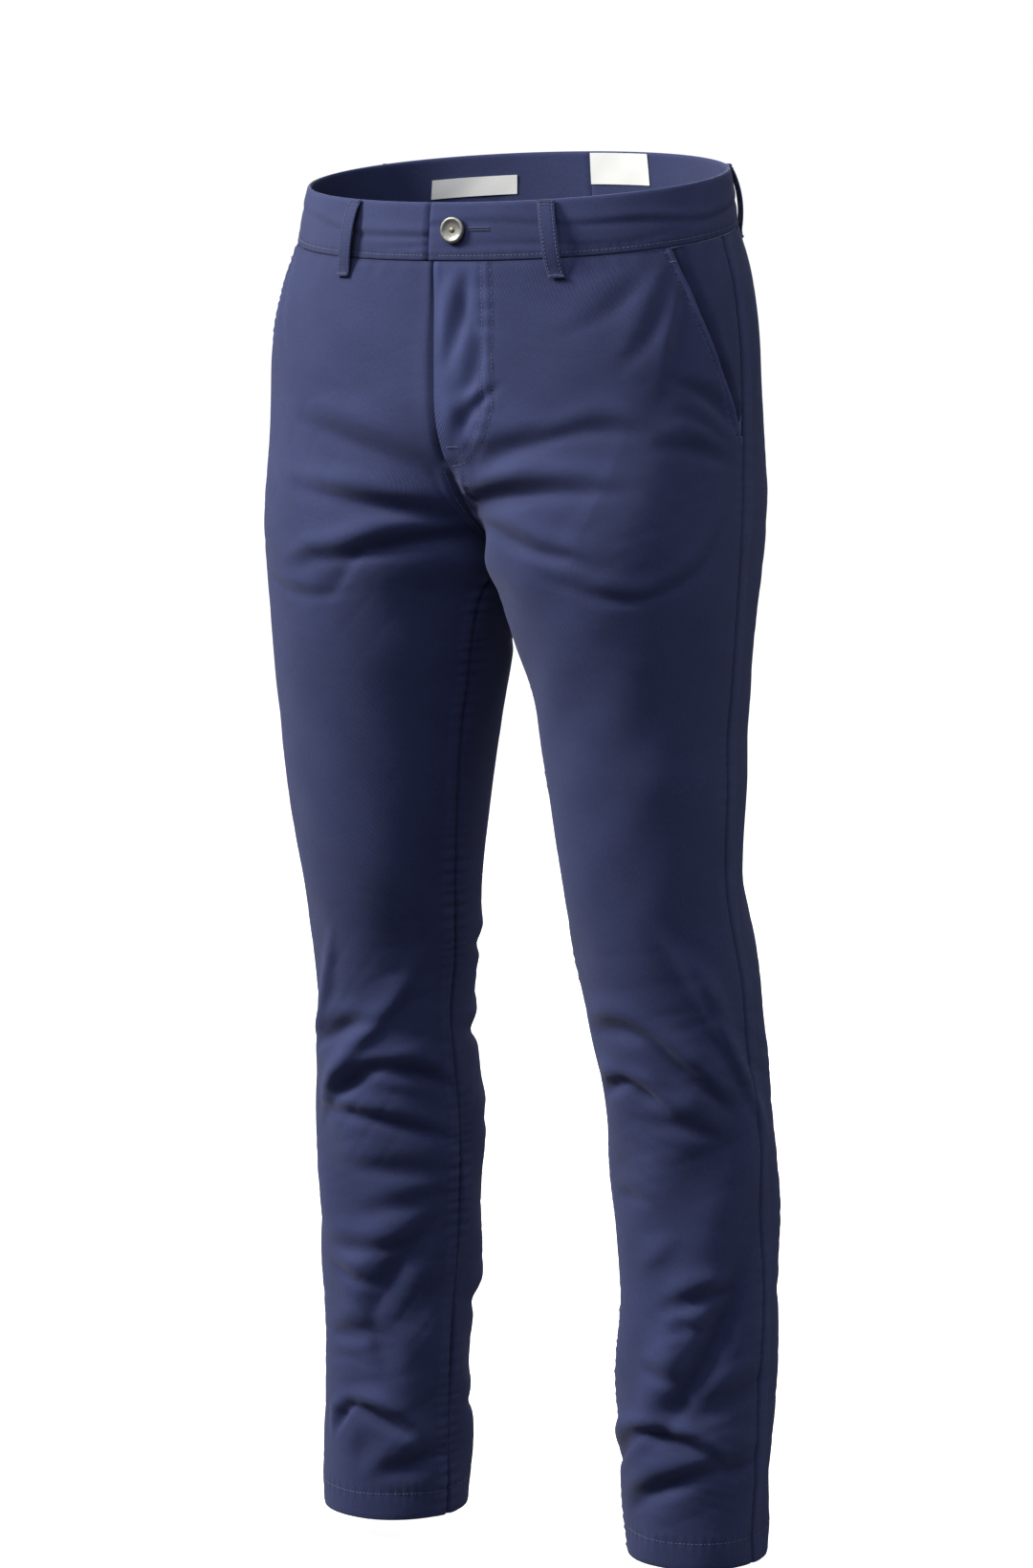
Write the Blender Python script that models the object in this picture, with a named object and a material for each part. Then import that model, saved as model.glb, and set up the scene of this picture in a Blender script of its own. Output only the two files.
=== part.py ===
"""Chino trousers, filled out to the hollow form they take when worn.

Metres, +Z up.  The origin is the centre of the waist opening, the front faces
-Y and the wearer's left is +X.  Cloth is a closed wall a little over a
millimetre thick; neighbouring pieces stop 0.3 mm apart at their seams.

One surface describes each half of the garment.  A place on it is given by a
level (the height at the side, 0 at the waist) and by t, which runs round one
side: -1 at the centre front or inseam, 0 at the outseam, +1 at the centre
back or inseam.  Above the fork a level is half an oval; below the crotch it
is the closed ring of one leg; between them the two are blended, which draws
the curved rise seams.

Each front and each back is cut in one length.  Its solid is divided once at
mid-thigh, with no seam there, so that the collision pieces follow its curve.
"""

import math
from collections import namedtuple

import bmesh
import bpy
from mathutils import Vector

MM = 0.001
CLOTH = 1.5 * MM
BAND_WALL = 3.0 * MM
SEAM = 0.3 * MM
LEFT, RIGHT = 1, -1

BAND_DEPTH = 40 * MM
BODY_TOP = -BAND_DEPTH - SEAM
FORK_TOP = -170 * MM
CROTCH = -268 * MM
INNER_FLAT = 24 * MM
FRONT_EASE = 9 * MM
SEAT_EASE = 16 * MM
HEM = -998 * MM
MID_THIGH = -450 * MM
HEM_TURNING = 22 * MM
WAIST_TILT = 0.162
TILT_ENDS = -200 * MM

FLY_LAP = 4 * MM
UNDERLAP = 38 * MM
LAP_STEP = 7 * MM
BAND_PROUD = 0.4 * MM
POCKET_FOOT = -183 * MM
POCKET_MOUTH_AHEAD = 0.27
POCKET_TUCK = 9 * MM

FRONT_STEPS = 12
BACK_STEPS = 10
BAND_STEPS = 24
FACING_STEPS = 6

Torso = namedtuple("Torso", "level half_width front back front_square back_square")
TORSO = [
    Torso(0.000, 0.161, 0.111, 0.109, 2.00, 2.00),
    Torso(-0.040, 0.168, 0.113, 0.113, 2.10, 2.00),
    Torso(-0.070, 0.177, 0.112, 0.116, 2.30, 2.00),
    Torso(-0.095, 0.182, 0.112, 0.119, 2.45, 2.00),
    Torso(-0.120, 0.185, 0.112, 0.122, 2.50, 2.00),
    Torso(-0.160, 0.186, 0.112, 0.124, 2.50, 2.00),
    Torso(-0.200, 0.186, 0.112, 0.123, 2.50, 2.00),
    Torso(-0.268, 0.186, 0.112, 0.116, 2.45, 2.00),
]

Leg = namedtuple("Leg", "level centre_x centre_y half_width half_depth inseam_turn outseam_turn")
LEG = [
    Leg(-0.170, 0.094, 0.000, 0.092, 0.118, 6, 2),
    Leg(-0.220, 0.095, -0.004, 0.093, 0.114, 6, 2),
    Leg(-0.268, 0.0955, -0.009, 0.093, 0.101, 6, 3),
    Leg(-0.300, 0.097, -0.007, 0.0895, 0.096, 16, 4),
    Leg(-0.330, 0.100, -0.005, 0.085, 0.092, 18, 5),
    Leg(-0.357, 0.103, -0.002, 0.081, 0.088, 18, 6),
    Leg(-0.390, 0.1045, -0.001, 0.076, 0.082, 18, 6),
    Leg(-0.427, 0.107, 0.000, 0.073, 0.077, 17, 7),
    Leg(-0.500, 0.109, 0.006, 0.066, 0.069, 15, 8),
    Leg(-0.570, 0.115, 0.021, 0.063, 0.064, 14, 9),
    Leg(-0.609, 0.119, 0.027, 0.060, 0.062, 14, 10),
    Leg(-0.650, 0.122, 0.033, 0.061, 0.062, 14, 10),
    Leg(-0.700, 0.124, 0.041, 0.062, 0.062, 14, 10),
    Leg(-0.800, 0.127, 0.046, 0.059, 0.060, 14, 10),
    Leg(-0.900, 0.127, 0.041, 0.056, 0.057, 14, 10),
    Leg(-1.000, 0.129, 0.041, 0.053, 0.054, 14, 10),
]

Stance = namedtuple("Stance", "level right_fuller")
STANCE = [
    Stance(-0.290, 0.000),
    Stance(-0.350, 0.045),
    Stance(-0.430, 0.040),
    Stance(-0.500, 0.020),
    Stance(-0.560, -0.025),
    Stance(-0.610, -0.037),
    Stance(-0.650, 0.000),
    Stance(-0.740, 0.020),
    Stance(-0.800, 0.018),
    Stance(-0.850, -0.022),
    Stance(-0.900, -0.016),
    Stance(-0.950, 0.022),
    Stance(-1.000, 0.030),
]

Share = namedtuple("Share", "level leg_share")
FORK = [
    Share(-0.170, 0.00),
    Share(-0.185, 0.08),
    Share(-0.200, 0.17),
    Share(-0.212, 0.26),
    Share(-0.223, 0.36),
    Share(-0.239, 0.54),
    Share(-0.254, 0.79),
    Share(-0.262, 0.92),
    Share(-0.268, 1.00),
]

Fold = namedtuple("Fold", "side level t length height slope depth")
FOLDS = [
    Fold(RIGHT, -0.212, -0.62, 0.090, 0.013, 4, -0.0035),
    Fold(RIGHT, -0.258, -0.55, 0.110, 0.014, -14, -0.0040),
    Fold(LEFT, -0.222, -0.60, 0.085, 0.012, 3, -0.0035),
    Fold(LEFT, -0.282, -0.35, 0.100, 0.015, -12, -0.0035),
    Fold(RIGHT, -0.615, -0.30, 0.060, 0.014, 10, 0.0050),
    Fold(RIGHT, -0.650, -0.45, 0.075, 0.013, 22, -0.0055),
    Fold(RIGHT, -0.668, -0.15, 0.060, 0.014, -25, 0.0050),
    Fold(RIGHT, -0.705, -0.55, 0.070, 0.014, 8, -0.0045),
    Fold(RIGHT, -0.840, -0.45, 0.075, 0.018, -40, -0.0065),
    Fold(RIGHT, -0.868, -0.35, 0.050, 0.014, 15, 0.0040),
    Fold(RIGHT, -0.930, -0.40, 0.060, 0.013, 12, -0.0045),
    Fold(LEFT, -0.610, -0.15, 0.065, 0.014, 40, 0.0055),
    Fold(LEFT, -0.655, -0.45, 0.080, 0.013, 30, -0.0055),
    Fold(LEFT, -0.690, -0.60, 0.055, 0.013, 18, -0.0040),
    Fold(LEFT, -0.800, -0.20, 0.060, 0.015, -10, -0.0035),
    Fold(LEFT, -0.852, -0.30, 0.080, 0.018, -52, -0.0070),
    Fold(LEFT, -0.905, -0.50, 0.060, 0.013, 14, 0.0045),
    Fold(LEFT, -0.935, -0.25, 0.060, 0.013, -14, -0.0045),
    Fold(RIGHT, -0.655, 0.45, 0.080, 0.015, 14, -0.0055),
    Fold(LEFT, -0.645, 0.50, 0.080, 0.015, -12, -0.0055),
    Fold(RIGHT, -0.700, 0.55, 0.070, 0.014, -10, -0.0045),
    Fold(LEFT, -0.705, 0.45, 0.070, 0.014, 12, -0.0045),
    Fold(RIGHT, -0.290, 0.45, 0.090, 0.016, 14, -0.0040),
    Fold(LEFT, -0.290, 0.45, 0.090, 0.016, 14, -0.0040),
    Fold(RIGHT, -0.860, 0.45, 0.070, 0.016, 20, -0.0050),
    Fold(LEFT, -0.865, 0.45, 0.070, 0.016, -20, -0.0050),
]

BODY_LEVELS = [
    -0.0403, -0.065, -0.095, -0.125, -0.155, -0.183, -0.200, -0.213, -0.226,
    -0.238, -0.248, -0.258, -0.268, -0.282, -0.302, -0.330, -0.365, -0.405, -0.450,
    -0.500, -0.545, -0.580, -0.605, -0.625, -0.645, -0.668, -0.692, -0.720, -0.760,
    -0.800, -0.826, -0.848, -0.870, -0.895, -0.925, -0.950, -0.976, -0.998,
]

LOOP_ANGLES = {"front_left": 40, "front_right": -36, "side_left": 112, "side_right": -112, "back": 180}
LOOP_WIDTH = 12 * MM
LOOP_WALL = 2.0 * MM
LOOP_GAP = 5.4 * MM
LOOP_TOP = -0.5 * MM
LOOP_FOOT = -53 * MM
BUTTON_ACROSS = 12 * MM
BUTTON_LEVEL = -19 * MM

NAVY = (0.040, 0.046, 0.112, 1.0)
NAVY_INSIDE = (0.034, 0.039, 0.095, 1.0)
STEEL = (0.62, 0.62, 0.60, 1.0)
LABEL_WHITE = (0.78, 0.79, 0.80, 1.0)


def smooth(value):
    """Ease a value from 0 to 1, flat at both ends."""
    clamped = min(max(value, 0.0), 1.0)
    return clamped * clamped * (3 - 2 * clamped)


def read_table(table, level):
    """Return the table's row at a level, eased between its neighbours by a cubic."""
    if level >= table[0].level:
        return table[0]
    if level <= table[-1].level:
        return table[-1]
    upper = max(i for i, row in enumerate(table) if row.level >= level)
    rows = [table[min(max(upper + k, 0), len(table) - 1)] for k in (-1, 0, 1, 2)]
    levels = [row.level for row in rows]
    span = levels[2] - levels[1]
    share = (level - levels[1]) / span
    values = [level]
    for before, start, end, after in zip(*(row[1:] for row in rows)):
        rise_in = (end - before) / (levels[2] - levels[0]) * span
        rise_out = (after - start) / (levels[3] - levels[1]) * span
        values.append(
            start
            + share * rise_in
            + share**2 * (3 * (end - start) - 2 * rise_in - rise_out)
            + share**3 * (2 * (start - end) + rise_in + rise_out)
        )
    return type(rows[0])(*values)


def oval(angle, half_width, half_depth, square):
    """Return a point of an oval; a square of 2 is an ellipse, more is boxier."""
    across = math.cos(angle)
    along = math.sin(angle)
    power = 2.0 / square
    x = half_width * math.copysign(abs(across) ** power, across)
    y = half_depth * math.copysign(abs(along) ** power, along)
    return x, y


def torso_point(level, t):
    """Return x and y on the half oval of the hips, centre front to centre back."""
    row = read_table(TORSO, level)
    seam_turn = math.radians(read_table(LEG, level).outseam_turn)
    quarter = math.pi / 2
    angle = -seam_turn + t * (quarter - seam_turn if t < 0 else quarter + seam_turn)
    if angle < 0:
        return oval(angle, row.half_width, row.front, row.front_square)
    return oval(angle, row.half_width, row.back, row.back_square)


def leg_point(side, level, t):
    """Return x and y on the ring of one leg, inseam to outseam to inseam."""
    row = read_table(LEG, level)
    fuller = 1 - side * read_table(STANCE, level).right_fuller
    outseam = math.radians(row.outseam_turn)
    inseam = math.radians(row.inseam_turn)
    sweep = math.pi - inseam - outseam if t < 0 else math.pi + inseam + outseam
    angle = -outseam + t * sweep
    across = math.cos(angle)
    flat = 1 - 0.5 * smooth((level - CROTCH + INNER_FLAT) / INNER_FLAT) if across < 0 else 1
    x = row.half_width * math.copysign(abs(across) ** flat, across)
    return row.centre_x + fuller * x, row.centre_y + fuller * row.half_depth * math.sin(angle)


def fold_push(side, level, t, radius):
    """Return how far the folds push the cloth out at a place."""
    push = 0.0
    for fold in FOLDS:
        if fold.side != side:
            continue
        across = (t - fold.t) * math.pi * radius
        down = level - fold.level - across * math.sin(math.radians(fold.slope))
        far = (across / fold.length * 2) ** 2 + (down / fold.height) ** 2
        if far < 9:
            push += fold.depth * math.exp(-far)
    edge = smooth((1 - abs(t)) / 0.10) * smooth(abs(t) / 0.06)
    return push * edge


def bare_point(side, level, t):
    """Return the garment's outer surface without folds, as x, y and z."""
    share = read_table(FORK, level).leg_share if level < FORK_TOP else 0.0
    share = min(max(share, 0.0), 1.0)
    hip_x, hip_y = torso_point(level, t)
    leg_x, leg_y = leg_point(side, level, t)
    end_x = leg_point(side, level, math.copysign(1.0, t))[0]
    held = smooth((level - CROTCH + 0.022) / 0.022) * smooth((abs(t) - 0.72) / 0.28)
    x = (1 - share) * hip_x + share * (leg_x - end_x * held)
    y = (1 - share) * hip_y + share * leg_y
    y += (SEAT_EASE if t > 0 else -FRONT_EASE) * 4 * share * (1 - share) * math.sin(math.pi * abs(t))
    tilt = WAIST_TILT * smooth((level - TILT_ENDS) / (-0.06 - TILT_ENDS))
    return Vector((side * max(x, SEAM / 2), y, level + tilt * y))


def outward(side, level, t):
    """Return the outward normal of the bare surface."""
    step_t = 0.004
    step_level = 0.0015
    around = bare_point(side, level, min(t + step_t, 1)) - bare_point(side, level, max(t - step_t, -1))
    down = bare_point(side, level - step_level, t) - bare_point(side, level + step_level, t)
    normal = down.cross(around) * side
    return normal.normalized()


def surface(side, level, t, lift=0.0):
    """Return a place on the cloth's outer face, lifted outwards by a distance."""
    radius = read_table(LEG, level).half_depth
    push = fold_push(side, level, t, radius)
    return bare_point(side, level, t) + outward(side, level, t) * (push + lift)


def add_material(name, color, roughness, metallic=0.0):
    """Return a Principled material."""
    material = bpy.data.materials.new(name)
    material.use_nodes = True
    shader = material.node_tree.nodes["Principled BSDF"]
    shader.inputs["Base Color"].default_value = color
    shader.inputs["Roughness"].default_value = roughness
    shader.inputs["Metallic"].default_value = metallic
    material.diffuse_color = color
    return material


def finish_object(name, mesh, material):
    """Turn the faces outwards, shade them smooth and link the object."""
    bm = bmesh.new()
    bm.from_mesh(mesh)
    bmesh.ops.recalc_face_normals(bm, faces=bm.faces)
    bm.to_mesh(mesh)
    bm.free()
    mesh.shade_smooth()
    mesh.set_sharp_from_angle(angle=math.radians(40))
    mesh.materials.append(material)
    body = bpy.data.objects.new(name, mesh)
    bpy.context.scene.collection.objects.link(body)
    return body


def wall(name, outer, inner, material, closed=False):
    """Build a closed wall from two equal grids of points, outer face and inner face."""
    rows = len(outer)
    columns = len(outer[0])
    vertices = [Vector(point) for grid in (outer, inner) for row in grid for point in row]
    offset = rows * columns
    spans = columns if closed else columns - 1

    def index(row, column):
        return row * columns + column % columns

    faces = []
    for row in range(rows - 1):
        for column in range(spans):
            a, b = index(row, column), index(row, column + 1)
            c, d = index(row + 1, column + 1), index(row + 1, column)
            if (vertices[a] - vertices[c]).length <= (vertices[b] - vertices[d]).length:
                halves = ([a, b, c], [a, c, d])
            else:
                halves = ([a, b, d], [b, c, d])
            for half in halves:
                faces.append(half)
                faces.append([offset + corner for corner in reversed(half)])
    for row in (0, rows - 1):
        for column in range(spans):
            a, b = index(row, column), index(row, column + 1)
            faces.append([b, a, offset + a, offset + b])
    if not closed:
        for column in (0, columns - 1):
            for row in range(rows - 1):
                a, b = index(row, column), index(row + 1, column)
                faces.append([a, b, offset + b, offset + a])
    mesh = bpy.data.meshes.new(name)
    mesh.from_pydata(vertices, [], faces)
    return finish_object(name, mesh, material)


def ring_length(side, level):
    """Return the length of cloth from t = 0 to 1, for turning distances into t."""
    points = [bare_point(side, level, k / 8) for k in range(9)]
    return sum((a - b).length for a, b in zip(points, points[1:]))


def pocket_edge(level):
    """Return t of the slant pocket's edge, which meets the outseam at its foot."""
    reach = (level - POCKET_FOOT) / (BODY_TOP - POCKET_FOOT)
    return -POCKET_MOUTH_AHEAD * reach * (1.25 - 0.25 * reach) if reach > 0 else 0.0


def panel(name, side, levels, first, last, steps, material):
    """Build a stretch of a front or back between two values of t, which may follow the level."""
    outer, inner = [], []
    for level in levels:
        gap = SEAM / 2 / ring_length(side, level)
        start = first(level) + gap
        end = last(level) - gap
        places = [start + (end - start) * k / steps for k in range(steps + 1)]
        outer.append([surface(side, level, t) for t in places])
        inner.append([surface(side, level, t, -CLOTH) for t in places])
    return wall(name, outer, inner, material)


def facing(name, side, material):
    """Build the pocket facing: beside the outseam it is flush, and it runs in under the front."""
    outer, inner = [], []
    levels = [level for level in BODY_LEVELS if level > POCKET_FOOT - 0.001]
    for level in levels:
        length = ring_length(side, level)
        tuck = POCKET_TUCK / length
        end = -SEAM / 2 / length
        start = pocket_edge(level) - tuck
        row_out, row_in = [], []
        for k in range(FACING_STEPS + 1):
            t = start + (end - start) * k / FACING_STEPS
            clear = (t - pocket_edge(level)) * length
            drop = (CLOTH + 2 * SEAM) * (1 - smooth((clear - 2 * MM) / (14 * MM)))
            row_out.append(surface(side, level, t, -drop))
            row_in.append(surface(side, level, t, -drop - CLOTH))
        outer.append(row_out)
        inner.append(row_in)
    return wall(name, outer, inner, material)


def hem(name, side, material):
    """Build the turned-up hem, a ring just inside the leg's lower edge."""
    outer, inner = [], []
    for level in (HEM + HEM_TURNING, HEM + SEAM):
        places = [-1 + k / FRONT_STEPS for k in range(FRONT_STEPS)] + [k / BACK_STEPS for k in range(BACK_STEPS)]
        outer.append([surface(side, level, t, -CLOTH - SEAM) for t in places])
        inner.append([surface(side, level, t, -2 * CLOTH - SEAM) for t in places])
    return wall(name, outer, inner, material, closed=True)


def band_point(side, level, t, lift):
    """Return a place on the waistband; t past -1 or 1 carries on across the centre."""
    if abs(t) > 1:
        side = -side
        t = math.copysign(2 - abs(t), t)
    return bare_point(side, level, t) + outward(side, level, t) * lift


def waistband(name, side, material):
    """Build one half of the waistband; the left end laps over the right one's tongue."""
    half = ring_length(side, -BAND_DEPTH / 2)
    end = 1 - SEAM / 2 / half
    step_down = LAP_STEP / half
    lap = -1 - FLY_LAP / half
    if side == LEFT:
        starts = [lap]
    else:
        foot = -2 - lap + step_down / 3
        tongue = -1 - UNDERLAP / half
        starts = [tongue + (foot - tongue) * k / 4 for k in range(5)]
        starts += [foot + step_down / 2]
    last = starts[-1] + (step_down / 2 if side == RIGHT else 0)
    places = starts[:-1] if side == LEFT else starts
    places = places + [last + (end - last) * k / BAND_STEPS for k in range(BAND_STEPS + 1)]
    outer, inner = [], []
    for level in (0.0, -BAND_DEPTH * 0.33, -BAND_DEPTH * 0.67, -BAND_DEPTH):
        row_out, row_in = [], []
        for t in places:
            sink = 0.0
            if side == RIGHT:
                sink = (BAND_WALL + 2 * SEAM) * smooth((last - t) / step_down)
            row_out.append(band_point(side, level, t, BAND_PROUD - sink))
            row_in.append(band_point(side, level, t, BAND_PROUD - sink - BAND_WALL))
        outer.append(row_out)
        inner.append(row_in)
    return wall(name, outer, inner, material)


def angle_to_place(angle):
    """Return the side and t at a plan angle in degrees, 0 at the front, + to the left."""
    side = LEFT if angle >= 0 else RIGHT
    target = math.radians(abs(angle))
    low, high = -1.0, 1.0
    for _ in range(30):
        middle = (low + high) / 2
        point = bare_point(side, -BAND_DEPTH / 2, middle)
        if math.atan2(abs(point.x), -point.y) < target:
            low = middle
        else:
            high = middle
    return side, (low + high) / 2


def belt_loop(name, angle, material):
    """Build a belt loop: a strip standing off the band, its ends turned in against it."""
    side, t = angle_to_place(angle)
    middle = surface(side, -BAND_DEPTH / 2, t)
    normal = outward(side, -BAND_DEPTH / 2, t)
    normal.z = 0
    normal.normalize()
    across = Vector((0, 0, 1)).cross(normal)
    rest = BAND_PROUD + 2 * SEAM
    stations = [
        (LOOP_TOP, rest),
        (LOOP_TOP - 2.5 * MM, rest),
        (LOOP_TOP - 6.5 * MM, rest + LOOP_GAP * 0.75),
        (LOOP_TOP - 11.5 * MM, rest + LOOP_GAP),
        (-BAND_DEPTH / 2, rest + LOOP_GAP * 1.04),
        (LOOP_FOOT + 14 * MM, rest + LOOP_GAP),
        (LOOP_FOOT + 9 * MM, rest + LOOP_GAP * 0.75),
        (LOOP_FOOT + 5 * MM, rest),
        (LOOP_FOOT, rest),
    ]
    outer, inner = [], []
    for k in range(4):
        shift = LOOP_WIDTH * (k / 3 - 0.5)
        row_out, row_in = [], []
        for level, stand in stations:
            base = surface(side, level, t)
            point = Vector((base.x, base.y, base.z)) + across * shift
            curve = 0.0
            if abs(shift) > 0:
                curve = 0.5 * shift * shift / max(math.hypot(middle.x, middle.y), 0.1)
            seat = point + normal * (stand - curve)
            row_in.append(seat)
            row_out.append(seat + normal * LOOP_WALL)
        outer.append(row_out)
        inner.append(row_in)
    return wall(name, outer, inner, material)


def button(name, material):
    """Build the metal shank button's cap, turned from a profile and set on the band."""
    side = LEFT
    half = ring_length(side, BUTTON_LEVEL)
    t = -1 + BUTTON_ACROSS / half
    seat = bare_point(side, BUTTON_LEVEL, t)
    normal = outward(side, BUTTON_LEVEL, t)
    profile = [
        (0.0, 4.1), (2.4, 4.0), (3.3, 3.5), (5.4, 3.5), (6.6, 4.2),
        (8.2, 4.1), (9.3, 3.0), (8.9, 1.2), (0.0, 1.0),
    ]
    mesh = bpy.data.meshes.new(name)
    bm = bmesh.new()
    points = [bm.verts.new((radius * MM, 0, height * MM)) for radius, height in profile]
    edges = [bm.edges.new(pair) for pair in zip(points, points[1:])]
    bmesh.ops.spin(bm, geom=points + edges, cent=(0, 0, 0), axis=(0, 0, 1), angle=math.tau, steps=20)
    bmesh.ops.remove_doubles(bm, verts=bm.verts, dist=0.00001)
    turn = normal.to_track_quat("Z", "Y").to_matrix().to_4x4()
    bmesh.ops.transform(bm, matrix=turn, verts=bm.verts)
    bmesh.ops.translate(bm, vec=seat, verts=bm.verts)
    bm.to_mesh(mesh)
    bm.free()
    return finish_object(name, mesh, material)


def label(name, side, angle, width, top, foot, material):
    """Build a woven label that lies against the inside of the waistband."""
    half = ring_length(side, -BAND_DEPTH / 2)
    _, centre = angle_to_place(angle)
    reach = width / 2 / half
    outer, inner = [], []
    for level in (top, (top + foot) / 2, foot):
        places = [centre - reach + 2 * reach * k / 6 for k in range(7)]
        depth = BAND_WALL - BAND_PROUD + 3 * SEAM
        outer.append([band_point(side, level, t, -depth) for t in places])
        inner.append([band_point(side, level, t, -depth - 1.0 * MM) for t in places])
    return wall(name, outer, inner, material)


def build():
    """Build every piece of the trousers."""
    for old in list(bpy.data.objects):
        bpy.data.objects.remove(old)
    cloth = add_material("navy_twill", NAVY, 0.85)
    lining = add_material("navy_twill_inside", NAVY_INSIDE, 0.9)
    metal = add_material("button_metal", STEEL, 0.3, 1.0)
    white = add_material("label_weave", LABEL_WHITE, 0.8)

    stretches = {
        "upper": [level for level in BODY_LEVELS if level > MID_THIGH] + [MID_THIGH + SEAM / 2],
        "lower": [MID_THIGH - SEAM / 2] + [level for level in BODY_LEVELS if level < MID_THIGH],
    }
    for word, side in (("left", LEFT), ("right", RIGHT)):
        for stretch, levels in stretches.items():
            panel(f"front_{word}_{stretch}", side, levels, lambda level: -1.0, pocket_edge, FRONT_STEPS, cloth)
            panel(f"back_{word}_{stretch}", side, levels, lambda level: 0.0, lambda level: 1.0, BACK_STEPS, cloth)
        facing(f"pocket_facing_{word}", side, cloth)
        waistband(f"waistband_{word}", side, cloth)
        hem(f"hem_{word}", side, lining)
    for word, angle in LOOP_ANGLES.items():
        belt_loop(f"belt_loop_{word}", angle, cloth)
    button("button", metal)
    label("label_brand_blank", RIGHT, -136, 60 * MM, -16 * MM, -30 * MM, white)
    label("label_size_blank", LEFT, 166, 45 * MM, -1 * MM, -24 * MM, white)


build()
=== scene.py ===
"""Chino trousers: the looks of every cloth piece, label, thread and button.

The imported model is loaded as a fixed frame.  Each cloth piece is modelled on
the same form as its solid, finely enough for its creases and puckers, and
takes the solid's place.  Lengths are in metres and levels are
heights at the side seam, 0 at the top of the waistband.
"""

from __future__ import annotations

import logging
import math
from contextlib import contextmanager
from dataclasses import dataclass
from enum import Enum
from typing import Iterator, Sequence

import bpy
import numpy as np
from mathutils import Matrix, Vector

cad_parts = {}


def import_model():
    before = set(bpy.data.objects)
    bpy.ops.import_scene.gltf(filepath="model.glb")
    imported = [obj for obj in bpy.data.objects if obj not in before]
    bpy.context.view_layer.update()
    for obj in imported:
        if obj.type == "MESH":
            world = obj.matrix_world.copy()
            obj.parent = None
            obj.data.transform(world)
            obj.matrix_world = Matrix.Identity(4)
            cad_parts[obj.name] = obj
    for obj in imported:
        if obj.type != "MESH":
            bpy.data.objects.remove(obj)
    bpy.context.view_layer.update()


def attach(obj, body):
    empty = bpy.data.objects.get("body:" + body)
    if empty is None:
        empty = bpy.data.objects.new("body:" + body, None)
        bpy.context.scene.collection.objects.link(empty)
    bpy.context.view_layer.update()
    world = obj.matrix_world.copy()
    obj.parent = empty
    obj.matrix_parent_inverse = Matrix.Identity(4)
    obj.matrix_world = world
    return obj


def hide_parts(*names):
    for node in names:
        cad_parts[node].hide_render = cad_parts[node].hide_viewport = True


LOG = logging.getLogger("chinos")
BODY = "root"
MM = 0.001

CLOTH = 1.3 * MM
SEAM = 0.3 * MM
SEAM_ROW = 2.2 * MM
SECOND_ROW = 8 * MM
BAND_DEPTH = 40 * MM
BAND_WALL = 2.8 * MM
BAND_PROUD = 0.4 * MM
BAND_STITCH = 36.3 * MM
BODY_TOP = -BAND_DEPTH - SEAM
FORK_TOP = -145 * MM
CROTCH = -268 * MM
INNER_FLAT = 24 * MM
FRONT_EASE = 9 * MM
SEAT_EASE = 16 * MM
HEM = -998 * MM
HEM_TURNING = 22 * MM
HEM_STITCH = 20 * MM
WAIST_TILT = 0.162
TILT_ENDS = -200 * MM
FLY_LAP = 4 * MM
UNDERLAP = 38 * MM
FLY_FOOT = -201 * MM
FLY_WIDTH = 34.5 * MM
FLY_NARROWS = 8.5 * MM
FLY_NARROWS_OVER = 0.064
FLY_TURN = -0.148
FLY_ROWS = 6 * MM
POCKET_FOOT = -183 * MM
POCKET_MOUTH_AHEAD = 0.27
POCKET_TUCK = 9 * MM
POCKET_STITCH = 7.4 * MM
BUTTON_LEVEL = -19 * MM

# pitch, share of it that shows and thread radius of a bar tack's stitches
TACK = (1.0 * MM, 0.96, 0.34 * MM)


class Side(Enum):
    """The wearer's side of the garment, with its direction along X."""

    LEFT = 1
    RIGHT = -1

    @property
    def word(self) -> str:
        """Return the side's name as piece names hold it."""
        return self.name.lower()


class Half(Enum):
    """Which leg panel a piece is, with the sign of t on it."""

    FRONT = -1
    BACK = 1


Array = np.ndarray


def smooth(value: Array | float) -> Array:
    """Ease a value from 0 to 1, flat at both ends.

    Args:
        value: The value to ease; outside 0 to 1 it is held.

    Returns:
        The eased value.
    """
    held = np.clip(value, 0.0, 1.0)
    return held * held * (3 - 2 * held)


def bump(distance: Array, reach: float) -> Array:
    """Return a soft bell of height 1 at distance 0, of the given reach."""
    return np.exp(-((distance / reach) ** 2))


# level, half width, front depth, back depth, front squareness, back squareness
TORSO = np.array([
    (0.000, 0.161, 0.111, 0.109, 2.00, 2.00),
    (-0.040, 0.168, 0.113, 0.113, 2.10, 2.00),
    (-0.070, 0.177, 0.112, 0.116, 2.30, 2.00),
    (-0.095, 0.182, 0.112, 0.119, 2.45, 2.00),
    (-0.120, 0.185, 0.112, 0.122, 2.50, 2.00),
    (-0.160, 0.186, 0.112, 0.124, 2.50, 2.00),
    (-0.200, 0.186, 0.112, 0.123, 2.50, 2.00),
    (-0.268, 0.186, 0.112, 0.116, 2.45, 2.00),
])

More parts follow.
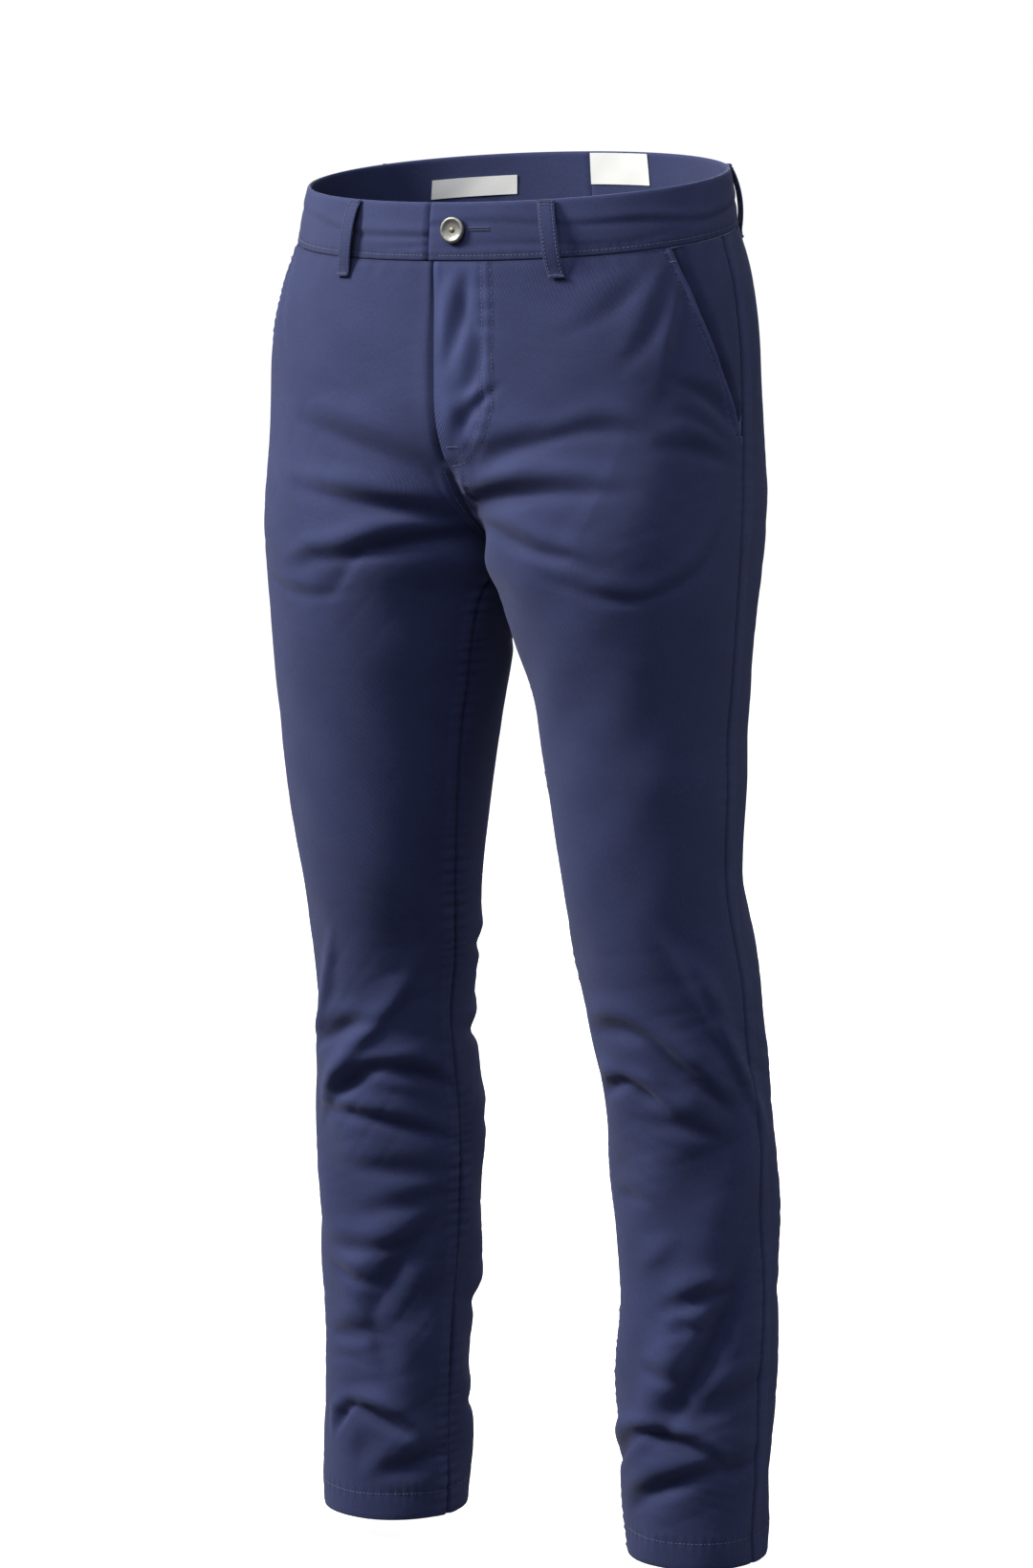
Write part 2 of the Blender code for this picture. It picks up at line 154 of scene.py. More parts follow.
# level, centre x, centre y, half width, half depth, inseam turn, outseam turn (degrees)
LEG = np.array([
    (-0.170, 0.094, 0.000, 0.092, 0.118, 6, 2),
    (-0.220, 0.095, -0.004, 0.093, 0.114, 6, 2),
    (-0.268, 0.0955, -0.009, 0.093, 0.101, 6, 3),
    (-0.300, 0.097, -0.007, 0.0895, 0.096, 16, 4),
    (-0.330, 0.100, -0.005, 0.085, 0.092, 18, 5),
    (-0.357, 0.103, -0.002, 0.081, 0.088, 18, 6),
    (-0.390, 0.1045, -0.001, 0.076, 0.082, 18, 6),
    (-0.427, 0.107, 0.000, 0.073, 0.077, 17, 7),
    (-0.500, 0.109, 0.006, 0.066, 0.069, 15, 8),
    (-0.570, 0.115, 0.021, 0.063, 0.064, 14, 9),
    (-0.609, 0.119, 0.027, 0.060, 0.062, 14, 10),
    (-0.650, 0.122, 0.033, 0.061, 0.062, 14, 10),
    (-0.700, 0.124, 0.041, 0.062, 0.062, 14, 10),
    (-0.800, 0.127, 0.046, 0.059, 0.060, 14, 10),
    (-0.900, 0.127, 0.041, 0.056, 0.057, 14, 10),
    (-1.000, 0.129, 0.041, 0.053, 0.054, 14, 10),
])

# level, how much fuller the right leg is than the left
STANCE = np.array([
    (-0.290, 0.000),
    (-0.350, 0.045),
    (-0.430, 0.040),
    (-0.500, 0.020),
    (-0.560, -0.025),
    (-0.610, -0.037),
    (-0.650, 0.000),
    (-0.740, 0.020),
    (-0.800, 0.018),
    (-0.850, -0.022),
    (-0.900, -0.016),
    (-0.950, 0.022),
    (-1.000, 0.030),
])

# level, share of the leg ring in the fork
FORK = np.array([
    (-0.145, 0.00),
    (-0.158, 0.008),
    (-0.172, 0.035),
    (-0.186, 0.09),
    (-0.200, 0.17),
    (-0.212, 0.26),
    (-0.223, 0.36),
    (-0.239, 0.54),
    (-0.254, 0.79),
    (-0.262, 0.92),
    (-0.268, 1.00),
])


def read_table(table: Array, column: int, level: Array) -> Array:
    """Read one column of a table at some levels, eased between its rows.

    Args:
        table: Rows that start with their level, highest first.
        column: The column to read.
        level: The levels wanted.

    Returns:
        The column's values at those levels.
    """
    knots = -table[:, 0]
    values = table[:, column]
    slopes = np.gradient(values, knots)
    slopes[1:-1] = (values[2:] - values[:-2]) / (knots[2:] - knots[:-2])
    slopes[0] = 0.0 if values[0] == 0.0 else (values[1] - values[0]) / (knots[1] - knots[0])
    slopes[-1] = (values[-1] - values[-2]) / (knots[-1] - knots[-2])
    place = np.clip(-np.asarray(level, float), knots[0], knots[-1])
    row = np.clip(np.searchsorted(knots, place, "right") - 1, 0, len(knots) - 2)
    span = knots[row + 1] - knots[row]
    share = (place - knots[row]) / span
    rise_in, rise_out = slopes[row] * span, slopes[row + 1] * span
    start, end = values[row], values[row + 1]
    return (
        start
        + share * rise_in
        + share**2 * (3 * (end - start) - 2 * rise_in - rise_out)
        + share**3 * (2 * (start - end) + rise_in + rise_out)
    )


@dataclass(frozen=True)
class Crease:
    """One soft trough or ridge, from one place of a side to another.

    Places are t and a level in millimetres; bow, width and depth are in
    millimetres, and a depth below 0 is a trough.  lip is the share of the
    depth that stands up again just above it.
    """

    side: Side
    t_from: float
    level_from: float
    t_to: float
    level_to: float
    bow: float
    width: float
    depth: float
    lip: float = 0.0


L, R = Side.LEFT, Side.RIGHT
CREASES = (
    # Pulls in the fly.
    Crease(L, -0.915, -48, -0.985, -116, 2, 4, -3.2, 0.8),
    Crease(L, -0.925, -84, -0.955, -150, -2, 4, -2.3, 0.7),
    Crease(L, -0.885, -138, -0.965, -176, 2, 4, -2.8, 0.8),
    Crease(L, -0.975, -120, -0.940, -196, 1, 5, -1.4, 0.4),
    # Hips and fork, front.
    Crease(R, -0.55, -222, -0.99, -239, -2, 8, -6.0, 0.8),
    Crease(R, -0.48, -272, -0.95, -252, 3, 8, -6.5, 0.8),
    Crease(R, -0.60, -264, -0.53, -294, 0, 5, -2.2, 0.3),
    Crease(R, -0.56, -294, -0.26, -284, -6, 5, -1.8, 0.5),
    Crease(R, -0.62, -172, -0.95, -205, 2, 10, -3.2, 0.5),
    Crease(L, -0.99, -230, -0.50, -215, 4, 8, -6.0, 0.8),
    Crease(L, -0.84, -245, -0.48, -263, 3, 7, -5.0, 0.6),
    Crease(L, -0.93, -203, -0.70, -177, 3, 9, -3.4, 0.5),
    Crease(L, -0.72, -178, -0.46, -174, 5, 8, -2.8, 0.5),
    Crease(L, -0.54, -275, -0.29, -289, -5, 5, -1.8, 0.6),
    Crease(L, -0.33, -290, -0.09, -242, -9, 5, -1.8, 0.6),
    Crease(L, -0.27, -50, -0.50, -118, -3, 8, -2.0, 0.6),
    Crease(L, -0.25, -62, -0.36, -140, -2, 7, -1.8, 0.6),
    Crease(L, -0.34, -48, -0.66, -92, -3, 7, -1.4, 0.6),
    Crease(R, -0.28, -52, -0.46, -112, -3, 8, -1.5, 0.6),
    Crease(L, -0.31, -138, -0.05, -172, 3, 7, -2.6, 0.5),
    Crease(L, -0.35, -183, -0.06, -196, 2, 8, -3.2, 0.5),
    Crease(L, -0.30, -160, -0.07, -184, 2, 6, -2.0, 0.4),
    # Right knee and calf, front.
    Crease(R, -0.41, -555, -0.25, -628, 0, 7, 4.0),
    Crease(R, -0.60, -616, -0.25, -640, 3, 7, -4.6, 0.5),
    Crease(R, -0.77, -582, -0.29, -684, 2, 9, 5.0),
    Crease(R, -0.94, -666, -0.58, -651, 4, 7, -5.5, 0.5),
    Crease(R, -0.63, -651, -0.40, -678, 2, 7, -6.0, 0.6),
    Crease(R, -0.31, -687, -0.94, -708, 5, 6, -4.0, 0.6),
    Crease(R, -0.48, -729, -0.96, -733, 0, 8, -2.6, 0.5),
    Crease(R, -0.56, -763, -0.97, -748, 0, 8, -2.8, 0.5),
    Crease(R, -0.35, -792, -0.75, -787, -2, 7, -3.2, 0.5),
    Crease(R, -0.34, -808, -0.61, -819, -1, 6, -2.6, 0.5),
    Crease(R, -0.88, -768, -0.55, -848, 3, 12, -5.2, 0.5),
    Crease(R, -0.57, -842, -0.66, -884, 0, 10, -3.4, 0.3),
    Crease(R, -0.62, -858, -0.93, -818, 0, 15, -2.6, 0.0),
    Crease(R, -0.31, -862, -0.61, -856, 1, 7, -3.0, 0.5),
    Crease(R, -0.36, -934, -0.47, -912, 2, 5, -4.5, 0.5),
    Crease(R, -0.45, -912, -0.78, -932, 3, 6, -6.0, 0.8),
    Crease(R, -0.53, -932, -0.53, -958, 0, 10, -2.4),
    Crease(R, -0.64, -963, -1.00, -946, 0, 9, -5.0, 0.5),
    # Left knee and calf, front.
    Crease(L, -0.30, -535, -0.10, -592, 0, 8, 4.0),
    Crease(L, -0.24, -566, 0.02, -668, 3, 7, 4.6),
    Crease(L, -0.40, -602, -0.19, -640, 0, 6, 3.0),
    Crease(L, -0.78, -606, -0.45, -605, 3, 8, -4.2, 0.6),
    Crease(L, -0.49, -606, -0.16, -656, 2, 8, -4.4, 0.6),
    Crease(L, -0.78, -652, -0.59, -640, 1, 6, -4.6, 0.6),
    Crease(L, -0.62, -640, -0.43, -659, 1, 6, -5.0, 0.6),
    Crease(L, -0.49, -667, -0.23, -678, 2, 8, -3.2, 0.5),
    Crease(L, -0.78, -729, -0.56, -728, 1, 6, -2.2, 0.5),
    Crease(L, -0.62, -778, -0.44, -753, 0, 10, 2.6),
    Crease(L, -0.47, -806, -0.20, -791, 0, 7, -4.6, 0.6),
    Crease(L, -0.46, -822, -0.34, -818, 0, 7, -3.2, 0.4),
    Crease(L, -0.59, -851, -0.43, -859, 0, 7, -3.6, 0.4),
    Crease(L, -0.15, -790, -0.48, -893, -3, 12, -7.5, 0.7),
    Crease(L, -0.43, -886, 0.00, -862, -3, 11, -4.2, 0.2),
    Crease(L, -0.92, -932, -0.61, -900, 2, 7, -5.0, 0.7),
    Crease(L, -0.64, -900, -0.26, -912, 4, 6, -6.0, 0.8),
    Crease(L, -0.70, -955, -0.29, -927, 2, 8, -6.0, 0.6),
    Crease(L, -0.33, -926, 0.00, -920, -2, 9, -4.2, 0.4),
    # Seat and thigh, back.
    Crease(R, 0.97, -244, 0.52, -286, 6, 9, -3.2, 0.6),
    Crease(R, 0.93, -282, 0.40, -322, 6, 10, -3.0, 0.6),
    Crease(R, 0.90, -330, 0.50, -352, 4, 9, -2.1, 0.5),
    Crease(R, 0.62, -215, 0.25, -246, 4, 11, -2.0, 0.4),
    Crease(L, 0.97, -248, 0.48, -281, 6, 9, -3.3, 0.6),
    Crease(L, 0.92, -292, 0.44, -334, 6, 10, -2.8, 0.6),
    Crease(L, 0.88, -346, 0.55, -361, 4, 9, -2.0, 0.5),
    Crease(L, 0.58, -222, 0.22, -240, 4, 11, -2.1, 0.4),
    # Hollow of the knee and calf, back.
    Crease(R, 0.28, -548, 0.60, -570, -4, 8, -3.0, 0.5),
    Crease(R, 0.88, -560, 0.45, -596, 4, 8, -3.8, 0.6),
    Crease(R, 0.31, -610, 0.70, -622, -4, 8, -4.2, 0.6),
    Crease(R, 0.92, -628, 0.50, -652, 4, 8, -3.9, 0.6),
    Crease(R, 0.34, -668, 0.62, -660, -4, 8, -3.2, 0.5),
    Crease(R, 0.85, -700, 0.40, -722, 4, 9, -2.5, 0.5),
    Crease(R, 0.25, -790, 0.70, -826, 0, 10, -3.4, 0.6),
    Crease(R, 0.90, -838, 0.45, -870, 4, 9, -3.8, 0.6),
    Crease(R, 0.31, -880, 0.55, -905, 3, 8, -3.6, 0.6),
    Crease(R, 0.88, -918, 0.42, -938, 4, 8, -3.4, 0.6),
    Crease(L, 0.26, -556, 0.55, -580, -4, 8, -3.2, 0.5),
    Crease(L, 0.90, -566, 0.42, -590, 4, 8, -3.6, 0.6),
    Crease(L, 0.30, -622, 0.66, -612, -4, 8, -4.1, 0.6),
    Crease(L, 0.90, -640, 0.46, -662, 4, 8, -4.1, 0.6),
    Crease(L, 0.28, -684, 0.58, -690, -4, 8, -3.0, 0.5),
    Crease(L, 0.85, -716, 0.45, -738, 4, 9, -2.2, 0.5),
    Crease(L, 0.22, -806, 0.68, -838, 0, 10, -3.3, 0.6),
    Crease(L, 0.90, -852, 0.50, -880, 4, 9, -3.6, 0.6),
    Crease(L, 0.26, -892, 0.52, -914, 3, 8, -3.4, 0.6),
    Crease(L, 0.86, -930, 0.40, -948, 4, 8, -3.3, 0.6),
)


class Form:
    """The garment's worn form: where a level and a t lie in space."""

    def __init__(self) -> None:
        """Measure how much cloth lies between outseam and centre at each level."""
        self._levels = np.linspace(0.0, -1.0, 126)
        self._girth = {
            (side, half): self._measure(side, half) for side in Side for half in Half
        }
        swell = np.random.default_rng(7)
        self._waves = [
            (swell.uniform(45, 130), swell.uniform(60, 170), swell.uniform(0, math.tau), swell.choice([-1, 1]))
            for _ in range(9)
        ]
        self._threads = {
            side: [
                (swell.uniform(16, 34), swell.normal(0.0, 0.42), swell.uniform(0, math.tau)) for _ in range(7)
            ]
            for side in Side
        }

    def _measure(self, side: Side, half: Half) -> Array:
        """Return the length of cloth from t = 0 to the half's end at each level.

        Args:
            side: The wearer's side.
            half: The half, front or back.

        Returns:
            One length for each of the form's own levels.
        """
        t = np.linspace(0, half.value, 33)
        grid_level, grid_t = np.meshgrid(self._levels, t, indexing="ij")
        points = self.bare(side, grid_level, grid_t)
        return np.linalg.norm(np.diff(points, axis=1), axis=2).sum(axis=1)

    def girth(self, side: Side, half: Half, level: Array) -> Array:
        """Return the length of cloth between the outseam and the half's end."""
        return np.interp(-np.asarray(level, float), -self._levels, self._girth[(side, half)])

    def bare(self, side: Side, level: Array, t: Array) -> Array:
        """Return the outer face without creases, eased where the hips part into legs.

        Args:
            side: The wearer's side.
            level: Heights at the side seam.
            t: Places round the side, -1 centre front or inseam, 0 outseam, 1 centre back or inseam.

        Returns:
            Points, with x, y and z on the last axis.
        """
        level, t = np.broadcast_arrays(np.asarray(level, float), np.asarray(t, float))
        plain = self._plain(side, level, t)
        ease = smooth((level + 0.400) / 0.07) * smooth((-0.120 - level) / 0.05) * smooth((0.97 - np.abs(t)) / 0.35)
        if not (ease > 0).any():
            return plain
        spans = ((-34, 0.08), (-23, 0.13), (-11, 0.18), (0, 0.22), (11, 0.18), (23, 0.13), (34, 0.08))
        soft = sum(share * self._plain(side, level + drop * MM, t) for drop, share in spans)
        return plain + ease[..., None] * (soft - plain)

    def _plain(self, side: Side, level: Array, t: Array) -> Array:
        """Return the outer face as its tables give it.

        Args:
            side: The wearer's side.
            level: Heights at the side seam.
            t: Places round the side, -1 centre front or inseam, 0 outseam, 1 centre back or inseam.

        Returns:
            Points, with x, y and z on the last axis.
        """
        hip_x, hip_y = self._torso(level, t)
        leg_x, leg_y = self._leg(side, level, t)
        end_x = self._leg(side, level, np.where(t < 0, -1.0, 1.0))[0]
        share = np.where(level < FORK_TOP, np.clip(read_table(FORK, 1, level), 0, 1), 0.0)
        held = smooth((level - CROTCH + 0.022) / 0.022) * smooth((np.abs(t) - 0.72) / 0.28)
        x = (1 - share) * hip_x + share * (leg_x - end_x * held)
        y = (1 - share) * hip_y + share * leg_y
        ease = np.where(t > 0, SEAT_EASE, -FRONT_EASE)
        y = y + ease * 4 * share * (1 - share) * np.sin(math.pi * np.abs(t))
        tilt = WAIST_TILT * smooth((level - TILT_ENDS) / (-0.06 - TILT_ENDS))
        return np.stack([side.value * np.maximum(x, 0.0), y, level + tilt * y], axis=-1)

    def _torso(self, level: Array, t: Array) -> tuple[Array, Array]:
        """Return x and y on the half oval of the hips.

        Args:
            level: Heights at the side seam.
            t: Places round the side.

        Returns:
            The two coordinates of each place.
        """
        turn = np.radians(read_table(LEG, 6, level))
        angle = -turn + t * np.where(t < 0, math.pi / 2 - turn, math.pi / 2 + turn)
        ahead = angle < 0
        depth = np.where(ahead, read_table(TORSO, 2, level), read_table(TORSO, 3, level))
        power = 2.0 / np.where(ahead, read_table(TORSO, 4, level), read_table(TORSO, 5, level))
        across, along = np.cos(angle), np.sin(angle)
        x = read_table(TORSO, 1, level) * np.sign(across) * np.abs(across) ** power
        return x, depth * np.sign(along) * np.abs(along) ** power

    def _leg(self, side: Side, level: Array, t: Array) -> tuple[Array, Array]:
        """Return x and y on the ring of one leg.

        Args:
            side: The wearer's side.
            level: Heights at the side seam.
            t: Places round the side.

        Returns:
            The two coordinates of each place.
        """
        outseam = np.radians(read_table(LEG, 6, level))
        inseam = np.radians(read_table(LEG, 5, level))
        angle = -outseam + t * np.where(t < 0, math.pi - inseam - outseam, math.pi + inseam + outseam)
        across = np.cos(angle)
        flat = np.where(across < 0, 1 - 0.5 * smooth((level - CROTCH + INNER_FLAT) / INNER_FLAT), 1.0)
        fuller = 1 - side.value * read_table(STANCE, 1, level)
        x = fuller * read_table(LEG, 3, level) * np.sign(across) * np.abs(across) ** flat
        y = fuller * read_table(LEG, 4, level) * np.sin(angle)
        return read_table(LEG, 1, level) + x, read_table(LEG, 2, level) + y

    def outward(self, side: Side, level: Array, t: Array) -> Array:
        """Return the outward normals of the bare form.

        Args:
            side: The wearer's side.
            level: Heights at the side seam.
            t: Places round the side.

        Returns:
            Unit vectors, one for each place.
        """
        level, t = np.broadcast_arrays(np.asarray(level, float), np.asarray(t, float))
        aside, below = 0.004, 0.0015
        around = self.bare(side, level, np.minimum(t + aside, 1)) - self.bare(side, level, np.maximum(t - aside, -1))
        down = self.bare(side, level - below, t) - self.bare(side, level + below, t)
        normal = np.cross(down, around) * side.value
        return normal / np.maximum(np.linalg.norm(normal, axis=-1, keepdims=True), 1e-9)

    def past_centre(self, side: Side, level: Array, t: Array) -> tuple[Array, Array]:
        """Return bare places and normals that carry on across the centre past t = -1 or 1.

        Args:
            side: The wearer's side.
            level: Heights at the side seam.
            t: Places round the side.

        Returns:
            The places and the outward normals.
        """
        held, over = np.clip(t, -1, 1), np.abs(t) > 1
        base, away = self.bare(side, level, held), self.outward(side, level, held)
        if over.any():
            other = Side(-side.value)
            mirrored = np.sign(t) * (2 - np.abs(t))
            base = np.where(over[..., None], self.bare(other, level, mirrored), base)
            away = np.where(over[..., None], self.outward(other, level, mirrored), away)
        return base, away

    def across(self, side: Side, level: Array, t: Array) -> Array:
        """Return the distance along the cloth from the outseam, + towards the back."""
        front = self.girth(side, Half.FRONT, level)
        back = self.girth(side, Half.BACK, level)
        return t * np.where(t < 0, front, back)

    def creases(self, side: Side, level: Array, t: Array) -> Array:
        """Return how far the creases and the cloth's own swell push the face out.

        Args:
            side: The wearer's side.
            level: Heights at the side seam.
            t: Places round the side.

        Returns:
            The push, in metres.
        """
        u = self.across(side, level, t)
        push = np.zeros_like(u)
        for crease in CREASES:
            if crease.side is side:
                push += self._stroke(crease, u, level)
        swell = np.zeros_like(u)
        for wide, tall, phase, lean in self._waves:
            swell += np.sin(math.tau * (u / (wide * MM) + lean * level / (tall * MM)) + phase)
        legs = 0.35 + 0.65 * smooth((-0.30 - level) / 0.25)
        from_end = (1 - np.abs(t)) * np.where(
            t < 0, self.girth(side, Half.FRONT, level), self.girth(side, Half.BACK, level)
        )
        free = smooth(from_end / (5 * MM)) * smooth((BODY_TOP - level) / (18 * MM))
        free = free * (0.25 + 0.75 * smooth((level - HEM) / (24 * MM)))
        return (push + 0.40 * MM * legs * swell + self._fine_wrinkles(side, u, level)) * free

    def _fine_wrinkles(self, side: Side, u: Array, level: Array) -> Array:
        """Return thin, shallow wrinkles, thickest behind and below the knees.

        Args:
            side: The wearer's side.
            u: Distances along the cloth from the outseam.
            level: Heights at the side seam.

        Returns:
            The push, in metres.
        """
        knees = bump(level + 0.640, 0.080) + 0.9 * bump(level + 0.880, 0.110) + 0.35 * bump(level + 0.25, 0.07)
        total = np.zeros_like(u)
        for wide, angle, phase in self._threads[side]:
            along = u * math.cos(angle) + level * math.sin(angle)
            off = -u * math.sin(angle) + level * math.cos(angle)
            bend = 0.35 * np.sin(along / (31 * MM) + phase) + 0.8 * np.sin(u / (47 * MM) + 2 * phase)
            line = 1 - np.abs(np.sin(math.pi * off / (wide * MM) + bend + phase))
            patch = np.sin(along / (26 * MM) + 3 * phase) * np.sin(off / (33 * MM) + 5 * phase)
            total -= line**3 * np.clip(patch, 0, 1)
        return 0.75 * MM * (0.20 + knees) * total

    def _stroke(self, crease: Crease, u: Array, level: Array) -> Array:
        """Return one crease's push at places u along the cloth and their levels.

        Args:
            crease: The crease.
            u: Distances along the cloth from the outseam.
            level: Heights at the side seam.

        Returns:
            The push, in metres.
        """
        ends = []
        for t, height in ((crease.t_from, crease.level_from), (crease.t_to, crease.level_to)):
            ends.append((float(self.across(crease.side, np.array(height * MM), np.array(t))), height * MM))
        start = np.array(ends[0])
        run = np.array(ends[1]) - start
        length = float(np.hypot(*run))
        along = run / length
        rise = np.array([-along[1], along[0]])
        rise = rise if rise[1] >= 0 else -rise
        share = ((u - start[0]) * along[0] + (level - start[1]) * along[1]) / length
        off = (u - start[0]) * rise[0] + (level - start[1]) * rise[1]
        off = off - crease.bow * MM * 4 * share * (1 - share)
        inner = (share + 0.30) / 1.60
        fade = smooth(inner / 0.5) * smooth((1 - inner) / 0.5)
        wide = crease.width * MM * (0.62 + 0.30 * fade)
        reach = np.where(off > 0, 1.35, 0.85) * wide
        profile = np.exp(-((off / reach) ** 2)) - crease.lip * bump(off - 2.1 * wide, 1.5 * wide)
        return 1.25 * crease.depth * MM * profile * fade


def pocket_edge(level: Array) -> Array:
    """Return t of the slant pocket's edge, which meets the outseam at its foot."""
    reach = np.maximum((np.asarray(level, float) - POCKET_FOOT) / (BODY_TOP - POCKET_FOOT), 0)
    return -POCKET_MOUTH_AHEAD * reach * (1.25 - 0.25 * reach)


def fly_reach(level: Array) -> Array:
    """Return how far the fly's stitched J lies from the centre front at each level.

    Args:
        level: Heights at the side seam.

    Returns:
        The distances, in metres.
    """
    level = np.asarray(level, float)
    straight = FLY_WIDTH - FLY_NARROWS * np.clip((-BAND_DEPTH - level) / FLY_NARROWS_OVER, 0, 1)
    turn = np.clip((FLY_TURN - level) / (FLY_TURN - FLY_FOOT), 0, 1)
    return straight * np.sqrt(np.maximum(1 - turn**2, 0))


# ---------------------------------------------------------------- finishes


def new_material(
    name: str, color: tuple[float, float, float], values: dict[str, object]
) -> tuple[bpy.types.Material, bpy.types.NodeTree, bpy.types.Node]:
    """Add a material and set constants on its shader's sockets.

    Args:
        name: The material's name.
        color: Its plain colour, for views without nodes.
        values: The constants, by socket name.

    Returns:
        The material, its node tree and its shader.
    """
    material = bpy.data.materials.new(name)
    material.use_nodes = True
    material.diffuse_color = (*color, 1)
    shader = material.node_tree.nodes["Principled BSDF"]
    for socket, value in values.items():
        shader.inputs[socket].default_value = value
    return material, material.node_tree, shader


def add_node(
    tree: bpy.types.NodeTree, kind: str, values: dict[str | int, object] | None = None, **options: object
) -> bpy.types.Node:
    """Add a shader node with its options and the constants on its sockets.

    Args:
        tree: The tree to add it to.
        kind: The node's type, without its "ShaderNode" prefix.
        values: The constants, by socket name or number.
        **options: The node's own settings, which are made first.

    Returns:
        The new node.
    """
    node = tree.nodes.new(f"ShaderNode{kind}")
    for option, choice in options.items():
        setattr(node, option, choice)
    for socket, value in (values or {}).items():
        node.inputs[socket].default_value = value
    return node


def tone_ramp(tree: bpy.types.NodeTree, color: tuple[float, float, float], dark: float, pale: float = 1.0,
              span: tuple[float, float] = (0.0, 1.0)) -> bpy.types.Node:
    """Add a ramp from a darker to a paler tone of one colour.

    Args:
        tree: The tree to add it to.
        color: The colour.
        dark: What share of the colour the ramp starts with.
        pale: What share it ends with.
        span: Where the ramp starts and ends.

    Returns:
        The new node.
    """
    node = add_node(tree, "ValToRGB")
    for element, share, position in zip(node.color_ramp.elements, (dark, pale), span):
        element.position = position
        element.color = (*[c * share for c in color], 1)
    return node


def wire(tree: bpy.types.NodeTree, *pairs: tuple[bpy.types.NodeSocket, bpy.types.NodeSocket]) -> None:
    """Link each pair's output to its input."""
    for source, target in pairs:
        tree.links.new(source, target)


@dataclass(frozen=True)
class TwillFinish:
    """Fine cotton twill, dyed navy, with a faint sheen."""

    name: str
    deep: tuple[float, float, float]
    worn: tuple[float, float, float]
    roughness: float = 0.82
    sheen: float = 0.18
    pitch: float = 0.75

    def material(self) -> bpy.types.Material:
        """Build the cloth's material from the shared weave group.

        Returns:
            The new material.
        """
        material, tree, shader = new_material(self.name, self.deep, {
            "Roughness": self.roughness,
            "Specular IOR Level": 0.30,
            "Sheen Weight": self.sheen,
            "Sheen Roughness": 0.45,
            "Sheen Tint": (0.62, 0.64, 0.86, 1),
        })
        sockets = {"Deep": (*self.deep, 1), "Worn": (*self.worn, 1), "Pitch": self.pitch}
        weave = add_node(tree, "Group", sockets, node_tree=weave_group())
        wire(
            tree,
            (weave.outputs["Color"], shader.inputs["Base Color"]),
            (weave.outputs["Normal"], shader.inputs["Normal"]),
        )
        return material


